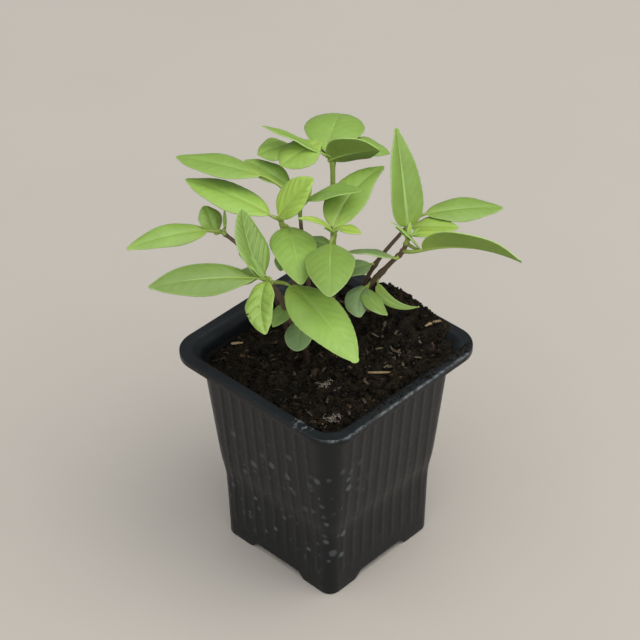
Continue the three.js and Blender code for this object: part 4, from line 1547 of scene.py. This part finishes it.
class BASIL_OT_leaves(bpy.types.Operator):
    """Builds each shoot's leaves"""

    bl_idname = "basil.leaves"
    bl_label = "Leaves"

    def execute(self, context):
        plant = context.scene.basil_plant
        rng = random.Random(5)
        materials = [
            leaf_material("leaf_upper", plant, underside=False),
            leaf_material("leaf_under", plant, underside=True),
            leaf_edge_material(plant),
        ]
        for shoot in SHOOTS:
            whole = bmesh.new()
            for leaf in (*shoot.leaves, *buds(shoot, rng)):
                join(whole, blade(plant, leaf, rng))
            node = shoot.name + "_stem"
            piece = finish_piece(whole, shoot.name + "_leaves", materials, [node], turned=True)
            thick = piece.modifiers.new("thickness", "SOLIDIFY")
            thick.thickness = plant.blade
            thick.offset = 0
            thick.material_offset = 1
            thick.material_offset_rim = 2
        return {"FINISHED"}


# Stage


def photo_direction(stage, right, up, back):
    """A direction given as the camera sees it, in the frame's axes"""
    azimuth, elevation = stage.azimuth, stage.elevation
    backward = Vector((
        math.sin(azimuth) * math.cos(elevation), -math.cos(azimuth) * math.cos(elevation), math.sin(elevation)
    ))
    rightward = Vector((math.cos(azimuth), math.sin(azimuth), 0))
    return rightward * right + backward.cross(rightward) * up + backward * back


def overhead_lamp(stage):
    """A soft square lamp above and in front of the plant, a little to the right"""
    lamp = bpy.data.lights.new("overhead", "AREA")
    lamp.size = 0.8
    lamp.energy = stage.lamp
    lamp.color = (1.0, 0.99, 0.97)
    holder = bpy.data.objects.new("overhead", lamp)
    holder.location = photo_direction(stage, 0.5, 0.9, 0.9)
    aim = Vector((0, 0, 0.1)) - holder.location
    holder.rotation_euler = aim.to_track_quat("-Z", "Y").to_euler()
    bpy.context.scene.collection.objects.link(holder)


def soft_sky(stage):
    """A plain sky that is bright above and in front of the plant, and dim behind it"""
    world = bpy.data.worlds.new("soft_sky")
    world.use_nodes = True
    tree = world.node_tree
    seen = add_node(tree, "TexCoord").outputs["Generated"]
    toward_light = measure(tree, "DOT_PRODUCT", seen, photo_direction(stage, 0.1, 0.45, 0.89))
    brightness = spread(tree, toward_light, 0.12, 1.0, stage.low_light, stage.top_light)
    sky = tree.nodes["Background"]
    sky.inputs["Color"].default_value = (0.94, 0.97, 1.0, 1.0)
    tree.links.new(brightness, sky.inputs["Strength"])
    return world


class BASIL_OT_stage(bpy.types.Operator):
    """Sets the plain floor, the soft light and the camera"""

    bl_idname = "basil.stage"
    bl_label = "Stage"

    def execute(self, context):
        stage = context.scene.basil_stage
        bm = bmesh.new()
        bmesh.ops.create_grid(bm, x_segments=1, y_segments=1, size=3)
        floor = place_mesh(bm, "floor")
        floor.data.materials.append(floor_material(stage.floor))

        context.scene.world = soft_sky(stage)
        context.scene.view_settings.view_transform = "Standard"
        overhead_lamp(stage)

        backward = photo_direction(stage, 0, 0, 1)
        rightward = photo_direction(stage, 1, 0, 0)
        upward = backward.cross(rightward)
        place = backward * stage.distance + rightward * stage.aim_right + upward * stage.aim_up
        roll = Matrix.Rotation(stage.camera_roll, 3, "Z")
        turn = Matrix((rightward, upward, backward)).transposed() @ roll
        lens = bpy.data.cameras.new("camera")
        lens.sensor_width = 36
        lens.lens = stage.lens
        camera = bpy.data.objects.new("camera", lens)
        camera.matrix_world = Matrix.Translation(place) @ turn.to_4x4()
        context.scene.collection.objects.link(camera)
        context.scene.camera = camera
        return {"FINISHED"}


class BASIL_PT_panel(bpy.types.Panel):
    """Lists the basil's builders"""

    bl_idname = "BASIL_PT_panel"
    bl_label = "Potted Thai Basil"
    bl_space_type = "VIEW_3D"
    bl_region_type = "UI"
    bl_category = "Basil"

    def draw(self, context):
        for operator in OPERATORS:
            self.layout.operator(operator.bl_idname)


SETTINGS = {
    "basil_pot": BasilPotSettings,
    "basil_soil": BasilSoilSettings,
    "basil_plant": BasilPlantSettings,
    "basil_stage": BasilStageSettings,
}
OPERATORS = (
    BASIL_OT_stage,
    BASIL_OT_pot,
    BASIL_OT_soil,
    BASIL_OT_spill,
    BASIL_OT_crumbs,
    BASIL_OT_litter,
    BASIL_OT_stems,
    BASIL_OT_leaves,
)


def register():
    """Registers the settings, the builders and the panel."""
    for name, settings in SETTINGS.items():
        bpy.utils.register_class(settings)
        setattr(bpy.types.Scene, name, PointerProperty(type=settings))
    for cls in (*OPERATORS, BASIL_PT_panel):
        bpy.utils.register_class(cls)


def unregister():
    """Undoes register."""
    for cls in (BASIL_PT_panel, *reversed(OPERATORS)):
        bpy.utils.unregister_class(cls)
    for name, settings in SETTINGS.items():
        delattr(bpy.types.Scene, name)
        bpy.utils.unregister_class(settings)


def main():
    """Builds everything."""
    register()
    groups["mottle"] = mottle_group()
    groups["speckle"] = speckle_group()
    groups["leaf veins"] = vein_group(bpy.context.scene.basil_plant)
    bpy.ops.basil.stage()
    bpy.ops.basil.pot()
    bpy.ops.basil.soil()
    bpy.ops.basil.spill()
    bpy.ops.basil.crumbs()
    bpy.ops.basil.litter()
    bpy.ops.basil.stems()
    bpy.ops.basil.leaves()


if __name__ == "__main__":
    main()
